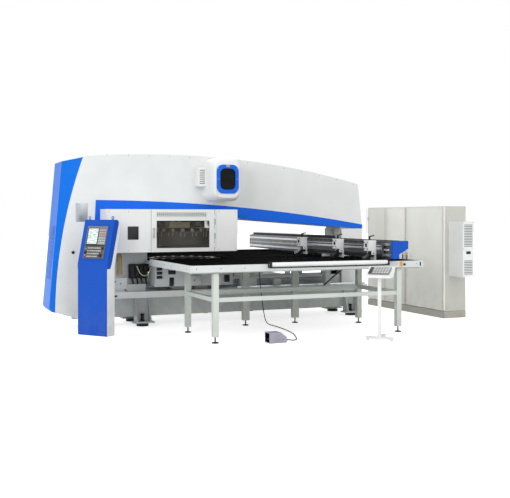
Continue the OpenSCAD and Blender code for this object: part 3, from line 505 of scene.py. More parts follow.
NODE_FINISH: dict[Finish, tuple[str, ...]] = {
    SHADED_COVER_WHITE: ("front_cover", "rear_cover", "top_cover", "right_column_cover"),
    WHITE: ("ram_hood", "hood_side_vent", "guard_housing", "guard_door", "rail_beams", "loading_roller",
            "clamp_bodies", "cooler", "remote_stand"),
    SOFT_WHITE: ("table_rims", "base_boxes", "saddles"),
    BLUE: ("belt_stripe", "hood_ring"),
    CONSOLE_BLUE: ("console_body", "beam_caps"),
    END_BLUE: ("left_end_cover",),
    LEG_GREY: ("table_legs", "table_rails"),
    SHADED_CABINET: ("cabinet_body",),
    LIT_CABINET_DOOR: ("cabinet_door_1", "cabinet_door_2", "cabinet_door_3"),
    FRAME_GREY: ("press_frame", "machine_feet"),
    GROUND: ("ram_cylinder", "ram", "turret_bearings", "die_support", "guard_door_pin", "guard_handle"),
    BEAM_GREY: ("cross_beam",),
    TURRET_GREY: ("turret_upper",),
    GUNMETAL: ("carriage",),
    RAIL: ("guide_rails", "beam_rails"),
    TURNED: ("punches",),
    OXIDE: ("turret_lower",),
    BLACKENED: ("levelling_feet", "roller_brackets", "clamp_anvils", "clamp_jaw_1", "clamp_jaw_2", "clamp_jaw_3",
                "clamp_lever_1", "clamp_lever_2", "clamp_lever_3"),
    BRISTLE: ("table_tops", "centre_table"),
    SMOKED: ("guard_window",),
    DARK_GLASS: ("hood_window",),
    PANEL_GREY: ("console_panel",),
    BLACK_PLASTIC: ("console_stop",),
    PEDAL_GREY: ("pedal_hood",),
    RUBBER: ("pedal_treadle", "pedal_cord"),
}


class Palette:
    """Makes each finish's material once."""

    def __init__(self) -> None:
        """Starts with no material."""
        self._made: dict[Finish, bpy.types.Material] = {}

    def get(self, finish: Finish) -> bpy.types.Material:
        """Finds or makes a finish's material.

        Args:
            finish: the finish.

        Returns:
            Its only material.
        """
        if finish not in self._made:
            self._made[finish] = finish.material()
        return self._made[finish]

    def dress_nodes(self) -> None:
        """Gives every CAD node its finish."""
        for finish, names in NODE_FINISH.items():
            for name in names:
                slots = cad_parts[name].data.materials
                slots.clear()
                slots.append(self.get(finish))


PALETTE = Palette()


# The camera and the cord come first.


@dataclass
class Camera:
    """The photograph's camera, solved from the machine's straight edges."""

    place: Vector = field(default_factory=lambda: at(-1820.0, -11300.0, 1512.0))
    turn_deg: float = 23.2
    focal_px: float = 826.0
    width_px: float = 510.0
    horizon_drop_px: float = 31.0
    sensor_mm: float = 36.0
    reach_m: float = 200.0

    def build(self) -> None:
        """Makes the camera and points the scene at it."""
        data = bpy.data.cameras.new("camera")
        data.sensor_width = self.sensor_mm
        data.lens = self.focal_px / self.width_px * self.sensor_mm
        data.shift_y = -self.horizon_drop_px / self.width_px
        data.clip_end = self.reach_m
        obj = bpy.data.objects.new("camera", data)
        obj.location = self.place
        obj.rotation_euler = (math.pi / 2, 0.0, -math.radians(self.turn_deg))
        bpy.context.scene.collection.objects.link(obj)
        bpy.context.scene.camera = obj


@dataclass
class PedalCord:
    """The foot pedal's cord, along the route of its solid."""

    route: tuple[tuple[float, float, float], ...] = (
        (2850, -555, 844.95), (2850, -555, 790), (2855, -555, 700), (2870, -552, 540), (2895, -548, 360),
        (2920, -546, 200), (2940, -552, 90), (2955, -585, 28), (2965, -660, 7), (2968, -780, 7), (2962, -1000, 7),
        (2935, -1300, 7), (2880, -1580, 7), (2810, -1800, 7), (2755, -1940, 7), (2715, -2040, 7), (2660, -2120, 8),
        (2590, -2165, 14), (2540, -2179, 24), (2499.3, -2180, 25))
    radius: float = 0.006
    steps: int = 6

    def build(self) -> None:
        line = [at(*p) for p in smooth([Vector(p) for p in self.route], self.steps)]
        curve = bpy.data.curves.new("pedal_lead", "CURVE")
        curve.dimensions = "3D"
        curve.bevel_depth = self.radius
        curve.bevel_resolution = 4
        curve.use_fill_caps = True
        spline = curve.splines.new("POLY")
        spline.points.add(len(line) - 1)
        for point, place in zip(spline.points, line):
            point.co = (*place, 1.0)
        obj = bpy.data.objects.new("pedal_lead", curve)
        bpy.context.scene.collection.objects.link(obj)
        curve.materials.append(PALETTE.get(RUBBER))
        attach(obj, Body.PRESS.value)
        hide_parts("pedal_cord")


# Added pieces.


class Shape:
    """Collects the geometry of one added piece, in layout millimetres or in a local frame of them."""

    def __init__(self, local: Optional[Matrix] = None) -> None:
        """Starts an empty shape in the layout frame or in a local one."""
        self.bm = bmesh.new()
        self.local = local or Matrix.Identity(4)

    def take(self, part: bmesh.types.BMesh) -> "Shape":
        """Adds a mesh to the shape.

        Args:
            part: the mesh, which is freed.

        Returns:
            The shape itself.
        """
        mesh = bpy.data.meshes.new("scratch")
        part.to_mesh(mesh)
        part.free()
        self.bm.from_mesh(mesh)
        bpy.data.meshes.remove(mesh)
        return self

    @staticmethod
    def soften(part: bmesh.types.BMesh, edges: Sequence[bmesh.types.BMEdge], radius: float) -> None:
        """Rounds some edges of a mesh."""
        bmesh.ops.bevel(part, geom=edges, offset=radius, segments=2, profile=0.5, affect="EDGES", material=-1)

    def block(self, lo: Vec, hi: Vec, bevel: float = 0.0) -> "Shape":
        """Adds a box.

        Args:
            lo: its lowest corner.
            hi: its highest corner.
            bevel: the radius of its edges.

        Returns:
            The shape itself.
        """
        low, high = Vector(lo), Vector(hi)
        part = bmesh.new()
        place = Matrix.Translation((low + high) / 2) @ Matrix.Diagonal((*(high - low), 1.0))
        bmesh.ops.create_cube(part, size=1.0, matrix=place)
        if bevel:
            self.soften(part, part.edges[:], bevel)
        return self.take(part)

    def plate(self, edges: Vec, front: float, back: float, bevel: float = 0.0) -> "Shape":
        """Adds a flat plate across the y axis.

        Args:
            edges: its left, lower, right and upper edge.
            front: where its front face is.
            back: where its back face is.
            bevel: the radius of its edges.

        Returns:
            The shape itself.
        """
        left, low, right, high = edges
        return self.block((left, front, low), (right, back, high), bevel)

    def rod(self, a: Vec, b: Vec, r: float, r2: Optional[float] = None, sides: int = 20, bevel: float = 0.0) -> "Shape":
        """Adds a round bar or a cone.

        Args:
            a: the middle of its first end.
            b: the middle of its other end.
            r: its radius at a.
            r2: its radius at b, where that differs.
            sides: how many sides it has.
            bevel: the radius of its rims.

        Returns:
            The shape itself.
        """
        start, end = Vector(a), Vector(b)
        part = bmesh.new()
        turn = (end - start).to_track_quat("Z", "Y").to_matrix().to_4x4()
        bmesh.ops.create_cone(part, cap_ends=True, segments=sides, radius1=r, radius2=r if r2 is None else r2,
                              depth=(end - start).length, matrix=Matrix.Translation((start + end) / 2) @ turn)
        if bevel:
            self.soften(part, [e for e in part.edges if e.calc_face_angle(0.0) > 1.0], bevel)
        return self.take(part)

    def ring(self, centre: Vec, inner: float, outer: float, lo: float, hi: float, sides: int = 64) -> "Shape":
        """Adds a ring about a vertical axis.

        Args:
            centre: where the axis stands.
            inner: the bore's radius.
            outer: the rim's radius.
            lo: the height of its underside.
            hi: the height of its top.
            sides: how many sides it has.

        Returns:
            The shape itself.
        """
        x, y = centre
        part = bmesh.new()
        corners = [part.verts.new((x + r, y, z)) for r, z in ((inner, lo), (outer, lo), (outer, hi), (inner, hi))]
        edges = [part.edges.new(pair) for pair in zip(corners, corners[1:] + corners[:1])]
        bmesh.ops.spin(part, geom=corners + edges, cent=(x, y, 0), axis=(0, 0, 1), angle=2 * math.pi, steps=sides,
                       use_merge=True)
        bmesh.ops.remove_doubles(part, verts=part.verts[:], dist=0.001)
        bmesh.ops.recalc_face_normals(part, faces=part.faces[:])
        return self.take(part)

    def prism(self, outline: Sequence[Vec], plane: Plane, lo: float, hi: float) -> "Shape":
        """Adds an outline that is drawn out along the axis across its plane.

        Args:
            outline: its corners.
            plane: the plane that they lie in.
            lo: where it starts on the third axis.
            hi: where it ends.

        Returns:
            The shape itself.
        """
        part = bmesh.new()
        face = part.faces.new([part.verts.new(plane.point(u, v, lo)) for u, v in outline])
        made = bmesh.ops.extrude_face_region(part, geom=[face])["geom"]
        moved = [v for v in made if isinstance(v, bmesh.types.BMVert)]
        bmesh.ops.translate(part, verts=moved, vec=plane.point(0.0, 0.0, hi - lo))
        bmesh.ops.recalc_face_normals(part, faces=part.faces[:])
        return self.take(part)

    def tube(self, path: Sequence[Vec], r: float, sides: int = 10, steps: int = 6) -> "Shape":
        """Adds a round hose along a smooth line.

        Args:
            path: the points that it passes through.
            r: its radius.
            sides: how many sides it has.
            steps: how many pieces it has from one point to the next.

        Returns:
            The shape itself.
        """
        line = smooth([Vector(p) for p in path], steps)
        side: Optional[Vector] = None
        places: list[Matrix] = []
        for i, p in enumerate(line):
            ahead = (line[min(i + 1, len(line) - 1)] - line[max(i - 1, 0)]).normalized()
            side = (ahead.orthogonal() if side is None else side - ahead * side.dot(ahead)).normalized()
            turn = Matrix((side.cross(ahead), side, ahead)).transposed().to_4x4()
            places.append(Matrix.Translation(p) @ turn)
        part = bmesh.new()
        bmesh.ops.create_circle(part, cap_ends=True, segments=sides, radius=r, matrix=places[0])
        end = start = part.faces[:]
        for before, after in zip(places, places[1:]):
            made = bmesh.ops.extrude_face_region(part, geom=end)["geom"]
            if end is not start:
                bmesh.ops.delete(part, geom=end, context="FACES_ONLY")
            end = [f for f in made if isinstance(f, bmesh.types.BMFace)]
            moved = [v for v in made if isinstance(v, bmesh.types.BMVert)]
            bmesh.ops.transform(part, matrix=after @ before.inverted(), verts=moved)
        bmesh.ops.recalc_face_normals(part, faces=part.faces[:])
        return self.take(part)

    def screws(self, places: Iterable[Vec], out: Vec, r: float = 6.0, h: float = 3.0) -> "Shape":
        """Adds round screw heads on a face.

        Args:
            places: where they sit on the face.
            out: the way that they stand out.
            r: their radius at the face.
            h: how far they stand out.

        Returns:
            The shape itself.
        """
        for p in places:
            self.rod(p, Vector(p) + Vector(out) * h, r, r * 0.8, sides=10)
        return self

    def piece(self, name: str, body: Body, finish: Finish) -> None:
        """Makes the object, and lets it ride on a body.

        Args:
            name: the piece's name.
            body: the body that carries it.
            finish: its surface.
        """
        bmesh.ops.transform(self.bm, matrix=TO_PART @ self.local, verts=self.bm.verts)
        mesh = bpy.data.meshes.new(name)
        self.bm.to_mesh(mesh)
        self.bm.free()
        mesh.polygons.foreach_set("use_smooth", [True] * len(mesh.polygons))
        mesh.set_sharp_from_angle(angle=SMOOTH_ANGLE)
        mesh.materials.append(PALETTE.get(finish))
        obj = bpy.data.objects.new(name, mesh)
        bpy.context.scene.collection.objects.link(obj)
        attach(obj, body.value)
        LOG.info("%s on %s", name, body.value)


@dataclass
class Console:
    """The operator console's skins, screen, keys and knobs."""

    x: float = 440.0
    y: float = -721.0
    turn: float = -52.0
    width: float = 480.0
    bend_z: float = 920.0
    height: float = 1490.0
    lean: float = 150.0
    depth: float = 150.0
    top_flat: float = 58.0
    head_depth: float = 88.0
    panel_face: float = -14.0
    panel_half: float = 160.0
    screen_x: tuple[float, float] = (-144.0, 24.0)
    screen_z: tuple[float, float] = (262.0, 469.0)
    lower_z: tuple[float, float] = (70.0, 238.0)
    knobs: tuple[tuple[float, float], ...] = ((-134.0, 150.0), (138.0, 205.0))
    lit_z: tuple[float, ...] = (105.0, 190.0)

    def body(self) -> Matrix:
        """Returns the console's own frame."""
        return turned(self.x, self.y, self.turn)

    def slope(self) -> Matrix:
        """Returns the frame of the leaning panel: x across it, z up it, -y out of it."""
        tilt = math.atan2(self.lean, self.height - self.bend_z)
        return self.body() @ Matrix.Translation((0, 0, self.bend_z)) @ Matrix.Rotation(-tilt, 4, "X")

    def build(self) -> None:
        """Makes the console's pieces."""
        self._skins()
        self._screen()
        self._keys()
        self._knobs()

    def _skins(self) -> None:
        """Makes the white sides and the blue wrap round the head."""
        top, bend, lean, deep = self.height, self.bend_z, self.lean, self.depth
        side = [(1, 2), (1, bend), (lean + 1, top - 2), (lean + self.top_flat, top - 2), (lean + deep - 22, top - 72),
                (deep - 2, bend - 30), (deep - 2, 2)]
        self._cheeks("console_side_skins", side, self.width / 2, 2.0, WHITE)
        head = [(0, bend - 60), (0, bend), (lean, top), (lean + self.top_flat, top), (lean + self.head_depth, top - 34),
                (self.head_depth, bend), (60, bend - 60)]
        self._cheeks("console_head_wrap", head, self.width / 2 + 1, 2.5, CONSOLE_BLUE)

    def _cheeks(self, name: str, outline: Sequence[Vec], inner: float, thick: float, finish: Finish) -> None:
        """Makes a pair of sheets, one on each side.

        Args:
            name: the piece's name.
            outline: a sheet's outline, seen from the side.
            inner: how far from the middle a sheet starts.
            thick: its thickness.
            finish: its surface.
        """
        pair = Shape(self.body())
        for lo in (-inner - thick, inner):
            pair.prism(outline, Plane.YZ, lo, lo + thick)
        pair.piece(name, Body.PRESS, finish)

    def _screen(self) -> None:
        """Makes the display, its bezel and the panel below it."""
        face, (x0, x1), (z0, z1) = self.panel_face, self.screen_x, self.screen_z
        Shape(self.slope()).block((x0, -10, z0), (x1, -8.2, z1)).piece("console_screen", Body.PRESS, SCREEN)
        bezel = Shape(self.slope())
        strips = ((x0 - 8, 246, x0, 474), (x1, 246, x1 + 8, 474), (x0, z1, x1, 476), (x0, 250, x1, z0 + 1))
        for strip in strips:
            bezel.plate(strip, face - 3, face + 4, 1.2)
        half, (low, high) = self.panel_half, self.lower_z
        bezel.block((-half - 2, face - 5, high), (half + 2, face + 3, high + 12), 1.5)
        bezel.piece("console_bezel", Body.PRESS, BLACK_PLASTIC)
        lower = Shape(self.slope()).block((-half, face - 1.5, low), (half, face + 1, high), 0.6)
        lower.piece("console_lower_panel", Body.PRESS, DARK_PANEL)

    def _keys(self) -> None:
        """Makes the keys beside the display and the rows below it."""
        face = self.panel_face
        pale, warm = Shape(self.slope()), Shape(self.slope())
        for row in range(6):
            for col in range(4):
                x, z = 46 + col * 28, 262 + row * 34
                (warm if row > 2 else pale).block((x, face - 5, z), (x + 22, face + 1, z + 26), 2.0)
        under_knob = ((0, 8), (0, 7), (1, 8))
        for row in range(4):
            for col in range(9):
                x, z = -104 + col * 25, 88 + row * 37
                if (row, col) not in under_knob:
                    keys = warm if (row + col) % 4 == 3 else pale
                    keys.block((x, face - 7, z), (x + 17, face - 0.5, z + 17), 2.0)
        pale.piece("console_keys", Body.PRESS, KEY_GREY)
        warm.piece("console_soft_keys", Body.PRESS, KEY_WARM)

    def _knobs(self) -> None:
        """Makes the two knobs and the lit keys."""
        face = self.panel_face
        knobs, lit = Shape(self.slope()), Shape(self.slope())
        for x, z in self.knobs:
            knobs.rod((x, face - 0.5, z), (x, face - 7, z), 17, bevel=2)
            knobs.rod((x, face - 7, z), (x, face - 22, z), 12, 10, bevel=2)
            knobs.block((x - 2, face - 25, z - 9), (x + 2, face - 20, z + 9), 0.8)
        knobs.piece("console_knobs", Body.PRESS, BLACK_PLASTIC)
        for z in self.lit_z:
            lit.block((-142, face - 7, z), (-126, face - 0.5, z + 14), 2.0)
        lit.piece("console_lit_keys", Body.PRESS, KEY_GREEN)


@dataclass
class SheetFeed:
    """Small pieces on the cross beam and its carriage."""

    beam_x: float = 4060.0
    top_z: float = 1211.0
    front: float = -2090.0
    rear: float = 2640.0
    rack_z: tuple[float, float] = (1080.0, 1104.0)
    rack_inset: float = 40.0
    tooth_pitch: float = 14.0
    chain_y: float = -360.0
    link_pitch: float = 46.0
    links: int = 64
    clamps: tuple[float, ...] = (-1745.0, -870.0, 290.0)
    clamp_reach: float = 120.0
    carriage_x: float = 4009.7
    carriage_y: tuple[float, float] = (-1955.0, 425.0)

    def build(self) -> None:
        """Makes the rack, the cable chain, the clamps' fittings and the carriage's strips."""
        self._rack()
        self._chain()
        self._clamp_fittings()
        self._carriage()

    def _rack(self) -> None:
        """Makes the toothed rack along the beam."""
        face, root = self.beam_x, self.beam_x - 10
        tip, start, end = root - 7, self.front + self.rack_inset, self.rear - self.rack_inset
        low, high = self.rack_z
        rack = Shape().block((root, start, low), (face + 0.5, end, high))
        for k in range(int((end - start) / self.tooth_pitch)):
            y = start + k * self.tooth_pitch
            rack.prism([(root, y + 2), (tip, y + 5), (tip, y + 9), (root, y + 12)], Plane.XY, low + 1, high - 1)
        rack.piece("beam_rack", Body.BEAM, RAIL)

    def _chain(self) -> None:
        """Makes the cable chain and its tray on top of the beam."""
        x, z = self.beam_x, self.top_z
        tray = Shape().block((x + 30, self.front + 10, z - 1), (x + 130, self.rear - 10, z + 6), 1.5)
        tray.piece("chain_tray", Body.BEAM, BLACK_PLASTIC)
        links = Shape()
        for k in range(self.links):
            y = self.chain_y + k * self.link_pitch
            links.block((x + 38, y, z + 6), (x + 122, y + 34, z + 40), 5)
            links.block((x + 34, y + 26, z + 10), (x + 126, y + 44, z + 35), 3)
        links.piece("cable_chain", Body.BEAM, BLACK_PLASTIC)

    def _clamp_fittings(self) -> None:
        """Makes the clamps' bolts and hoses."""
        x = self.carriage_x
        nose = x - self.clamp_reach
        bolts, hoses = Shape(), Shape()
        for y in self.clamps:
            bolts.screws([(nose, y + dy, z) for dy in (-42, 42) for z in (1100, 1185)], (-1, 0, 0), 8, 6)
            bolts.rod((nose, y, 1150), (nose - 6, y, 1150), 24, bevel=2)
            bolts.screws([(x - 30, y + dy, 1215) for dy in (-40, 40)], (0, 0, 1), 8, 6)
            hoses.tube([(x - 40, y + 30, 1214), (x - 40, y + 30, 1240), (x - 20, y + 70, 1255), (x + 6, y + 120, 1215),
                        (x + 6, y + 170, 1194)], 5)
        bolts.piece("clamp_bolts", Body.CARRIAGE, BLACKENED)
        hoses.piece("clamp_hoses", Body.CARRIAGE, RUBBER)

    def _carriage(self) -> None:
        """Makes the bolts, wipers and ground strips on the carriage's face."""
        x, (lo, hi) = self.carriage_x, self.carriage_y
        bolts = Shape()
        for k in range(16):
            bolts.screws([(x, lo + 75 + k * 150, z) for z in (1015, 1178)], (-1, 0, 0), 9, 5)
        bolts.piece("carriage_bolts", Body.CARRIAGE, BLACKENED)
        wipers = Shape().block((x - 4, lo, 1186), (x + 1, hi, 1195), 1).block((x - 3, lo, 997), (x + 1, hi, 1036), 1)
        wipers.piece("carriage_wipers", Body.CARRIAGE, RUBBER)
        strips = Shape().block((x - 8, lo + 15, 1086), (x + 1, hi - 15, 1122), 2)
        strips.block((x - 5, lo + 15, 1140), (x + 1, hi - 15, 1152), 1)
        strips.piece("carriage_rule", Body.CARRIAGE, RAIL)


@dataclass
class Tables:
    """The tables' bristle tufts, rim screws and fittings."""

    x: tuple[float, float] = (1340.0, 4580.0)
    y: tuple[float, float] = (-2010.0, -300.0)
    centre_x: tuple[float, float] = (2625.0, 4465.0)
    centre_y: tuple[float, float] = (-95.0, 645.0)
    top: float = 945.0
    tall: float = 8.0
    depth: float = 550.0
    pitch: float = 30.0
    stagger: float = 0.4
    tuft_r: float = 7.0
    tip: float = 0.4
    rim: float = 20.0
    rim_z: float = 905.0
    # Where the black strip under the roller lies on the rim: painted shadow.
    roller_shadow: Edges = (2360, 892, 4000, 905)
    access_plate: Edges = (4360, 880, 4480, 930)
    catch: Edges = (4546, 876, 4566, 926)
    tab: Edges = (4230, 872, 4275, 935)
    knob: tuple[float, float] = (4300.0, 900.0)
    knob_r: float = 15.0
    knob_reach: float = 22.0

    def build(self) -> None:
        """Makes the tufted tops and the fittings on the rims."""
        lo, hi = self.y
        self._tufts("front_bristles", self.x, self.y)
        self._tufts("rear_bristles", self.x, (self.depth - hi, self.depth - lo))
        self._tufts("centre_bristles", self.centre_x, self.centre_y)
        self._fittings()

    def _fittings(self) -> None:
        """Makes what sits on the front table's rim, and a black strip under the roller that is painted shadow."""
        face, z = self.y[0] - self.rim, self.rim_z
        left, right = self.x[0] - self.rim, self.x[1] + self.rim
        screws = Shape().screws([(1400 + k * 310, face, z) for k in range(11)], (0, -1, 0), 6, 2.5)
        screws.screws([(right, -1900 + k * 300, z) for k in range(6)], (1, 0, 0), 6, 2.5)
        screws.screws([(left, -1900 + k * 300, z) for k in range(6)], (-1, 0, 0), 6, 2.5)
        screws.piece("rim_screws", Body.PRESS, BLACKENED)
        # A black strip on the rim under the roller: painted shadow of the gap below the roller.
        roller_shadow = Shape().plate(self.roller_shadow, face - 6, face + 0.5, 1.5)
        roller_shadow.piece("roller_shadow_strip", Body.PRESS, RUBBER)
        plate = Shape().plate(self.access_plate, face - 2, face + 0.5, 1.0)
        plate.piece("rim_access_plate", Body.PRESS, SOFT_WHITE)
        x, z = self.knob
        knob = Shape().rod((x, face, z), (x, face - self.knob_reach, z), self.knob_r, bevel=3)
        knob.plate(self.catch, face - 4, face + 1, 2)
        knob.piece("rim_knob", Body.PRESS, BLACK_PLASTIC)
        tab = Shape().plate(self.tab, face - 3, face + 0.5, 1.0)
        tab.piece("rim_tab", Body.PRESS, AMBER)

    def _tufts(self, name: str, x: Vec, y: Vec) -> None:
        """Fills one top with tufts.

        Args:
            name: the piece's name.
            x: where the top starts and ends along the press.
            y: where it starts and ends across it.
        """
        tufts = Shape()
        rng = random.Random(7)
        rows = int((y[1] - y[0]) / self.pitch)
        for i in range(int((x[1] - x[0]) / self.pitch)):
            column = bmesh.new()
            for j in range(rows):
                along, across = (i + 0.5 + self.stagger * (j % 2)) * self.pitch, (j + 0.5) * self.pitch
                self._tuft(column, x[0] + along, y[0] + across, rng)
            tufts.take(column)
        tufts.piece(name, Body.PRESS, BRISTLE)

    def _tuft(self, bm: bmesh.types.BMesh, x: float, y: float, rng: random.Random) -> None:
        """Adds one tuft, a four-sided cone with a ragged tip.

        Args:
            bm: the mesh that it goes into.
            x, y: where it stands.
            rng: what its size and tip are drawn from.
        """
        r = self.tuft_r + rng.random() * 1.5
        foot, head = self.top - self.tall - 0.5, self.top - 0.3
        middle = Vector((x, y, (foot + head) / 2))
        made = bmesh.ops.create_cone(bm, cap_ends=True, segments=4, radius1=r, radius2=r * self.tip, depth=head - foot,
                                     matrix=Matrix.Translation(middle))
        for v in made["verts"]:
            if v.co.z > middle.z:
                v.co.x += rng.uniform(-1, 1)


@dataclass
class Underside:
    """Hydraulic hoses, valves and pipes on the base below the guard."""

    skirt: float = -284.5
    valve_x: float = 1118.0
    valve_pitch: float = 64.0
    valves: int = 4
    bank: Box = ((1110, -20, 668), (1370, 40.5, 868))
    plug_x: tuple[float, float] = (1422.0, 1500.0)
    plug_z: tuple[float, ...] = (672.0, 730.0, 786.0)
    slot_x: tuple[float, ...] = (1594.0, 2244.0)
    skirt_plates: tuple[Edges, ...] = ((1606, 566, 1668, 684), (2420, 600, 2500, 700))
    wall_box: Box = ((856, -172, 530), (1040, -40, 690))
    skirt_box: Edges = (1866, 566, 2056, 704)
    filter: tuple[float, float] = (940.0, -148.0)
    pipes: int = 3
    air_loop: tuple[tuple[float, float, float], ...] = (
        (1196, -66, 832), (1196, -96, 838), (1208, -112, 800), (1240, -114, 740), (1300, -112, 706), (1356, -106, 734),
        (1392, -96, 800), (1400, -88, 822), (1408, -84, 824))
    box_hose: tuple[tuple[float, float, float], ...] = (
        (872, -168, 640), (830, -196, 640), (806, -216, 590), (800, -232, 520), (812, -262, 470), (838, -278, 452),
        (862, -268, 452), (874, -256, 452))
    table_lead: tuple[tuple[float, float, float], ...] = (
        (4080, -930, 846), (4078, -800, 790), (4060, -620, 690), (4036, -470, 600), (4014, -350, 520),
        (4004, -296, 476), (4000, -256, 462))

    def build(self) -> None:
        """Makes the valve bank, the boxes, the hoses and the pipe run."""
        self._bank()
        self._boxes()
        self._hoses()

    def _bank(self) -> None:
        """Makes the valve bank and the dark plugs on the skirt."""
        skirt = self.skirt
        bank = Shape().block(*self.bank, 4)
        for k in range(self.valves):
            x = self.valve_x + k * self.valve_pitch
            bank.block((x, -70, 690 + 14 * (k % 2)), (x + 52, -18, 838), 4)
            bank.rod((x + 26, -64, 760), (x + 26, -112, 760), 19, bevel=3)
        left, right = self.plug_x
        middle = (left + right) / 2
        for z in self.plug_z:
            bank.plate((left, z, right, z + 40), skirt - 19.5, skirt, 4)
            bank.rod((middle, -300, z + 20), (middle, -318, z + 20), 13, bevel=2)
        for x in self.slot_x:
            bank.plate((x, 728, x + 102, 782), -279, -250, 3)
        for edges in self.skirt_plates:
            bank.plate(edges, skirt - 15.5, skirt, 4)
        bank.piece("valve_bank", Body.PRESS, BLACKENED)

    def _boxes(self) -> None:
        """Makes the junction boxes, their locks and the skirt's screws."""
        boxes = Shape().block(*self.wall_box, 5).plate(self.skirt_box, -330, self.skirt, 5)
        boxes.piece("junction_boxes", Body.PRESS, SOFT_WHITE)
        locks = Shape().rod((948, -171, 612), (948, -178, 612), 9, bevel=2)
        locks.rod((1960, -329, 640), (1960, -336, 640), 9, bevel=2)
        locks.piece("junction_locks", Body.PRESS, BLACK_PLASTIC)
        screws = Shape().screws([(1425 + k * 155, -285, z) for k in range(8) for z in (580, 842)], (0, -1, 0), 6, 3)
        screws.piece("skirt_screws", Body.PRESS, GROUND)

    def _hoses(self) -> None:
        """Makes the hoses, the oil filter, the table's lead and the pipes."""
        hoses = Shape()
        for k in range(self.valves):
            x = self.valve_x + 26 + k * self.valve_pitch
            hoses.tube([(x, -40, 692 + 14 * (k % 2)), (x, -46, 650), (x + 8, -50, 620), (x + 12, -46, 588)], 12)
        hoses.tube(self.box_hose, 11)
        hoses.piece("base_hoses", Body.PRESS, RUBBER)
        Shape().tube(self.air_loop, 7).piece("air_hose", Body.PRESS, HOSE_PALE)
        x, y = self.filter
        oil = Shape().rod((x, y, 775), (x, y, 1000), 30, bevel=5).rod((x, y, 995), (x, y, 1018), 18, bevel=3)
        oil.rod((x, y, 735), (x, y, 790), 38, bevel=4).block((x - 28, y + 20, 900), (x + 28, y + 42, 940), 3)
        oil.piece("oil_filter", Body.PRESS, TAN)
        Shape().tube(self.table_lead, 10).piece("table_lead", Body.PRESS, RUBBER)
        pipes = Shape()
        for k in range(self.pipes):
            z = 520 + 40 * k
            pipes.tube([(1320, 20 - 4 * k, z), (1700, 20, z), (2600, 20, z + 2), (4300, 20, z)], 9, steps=3)
        pipes.piece("base_pipes", Body.PRESS, GROUND)


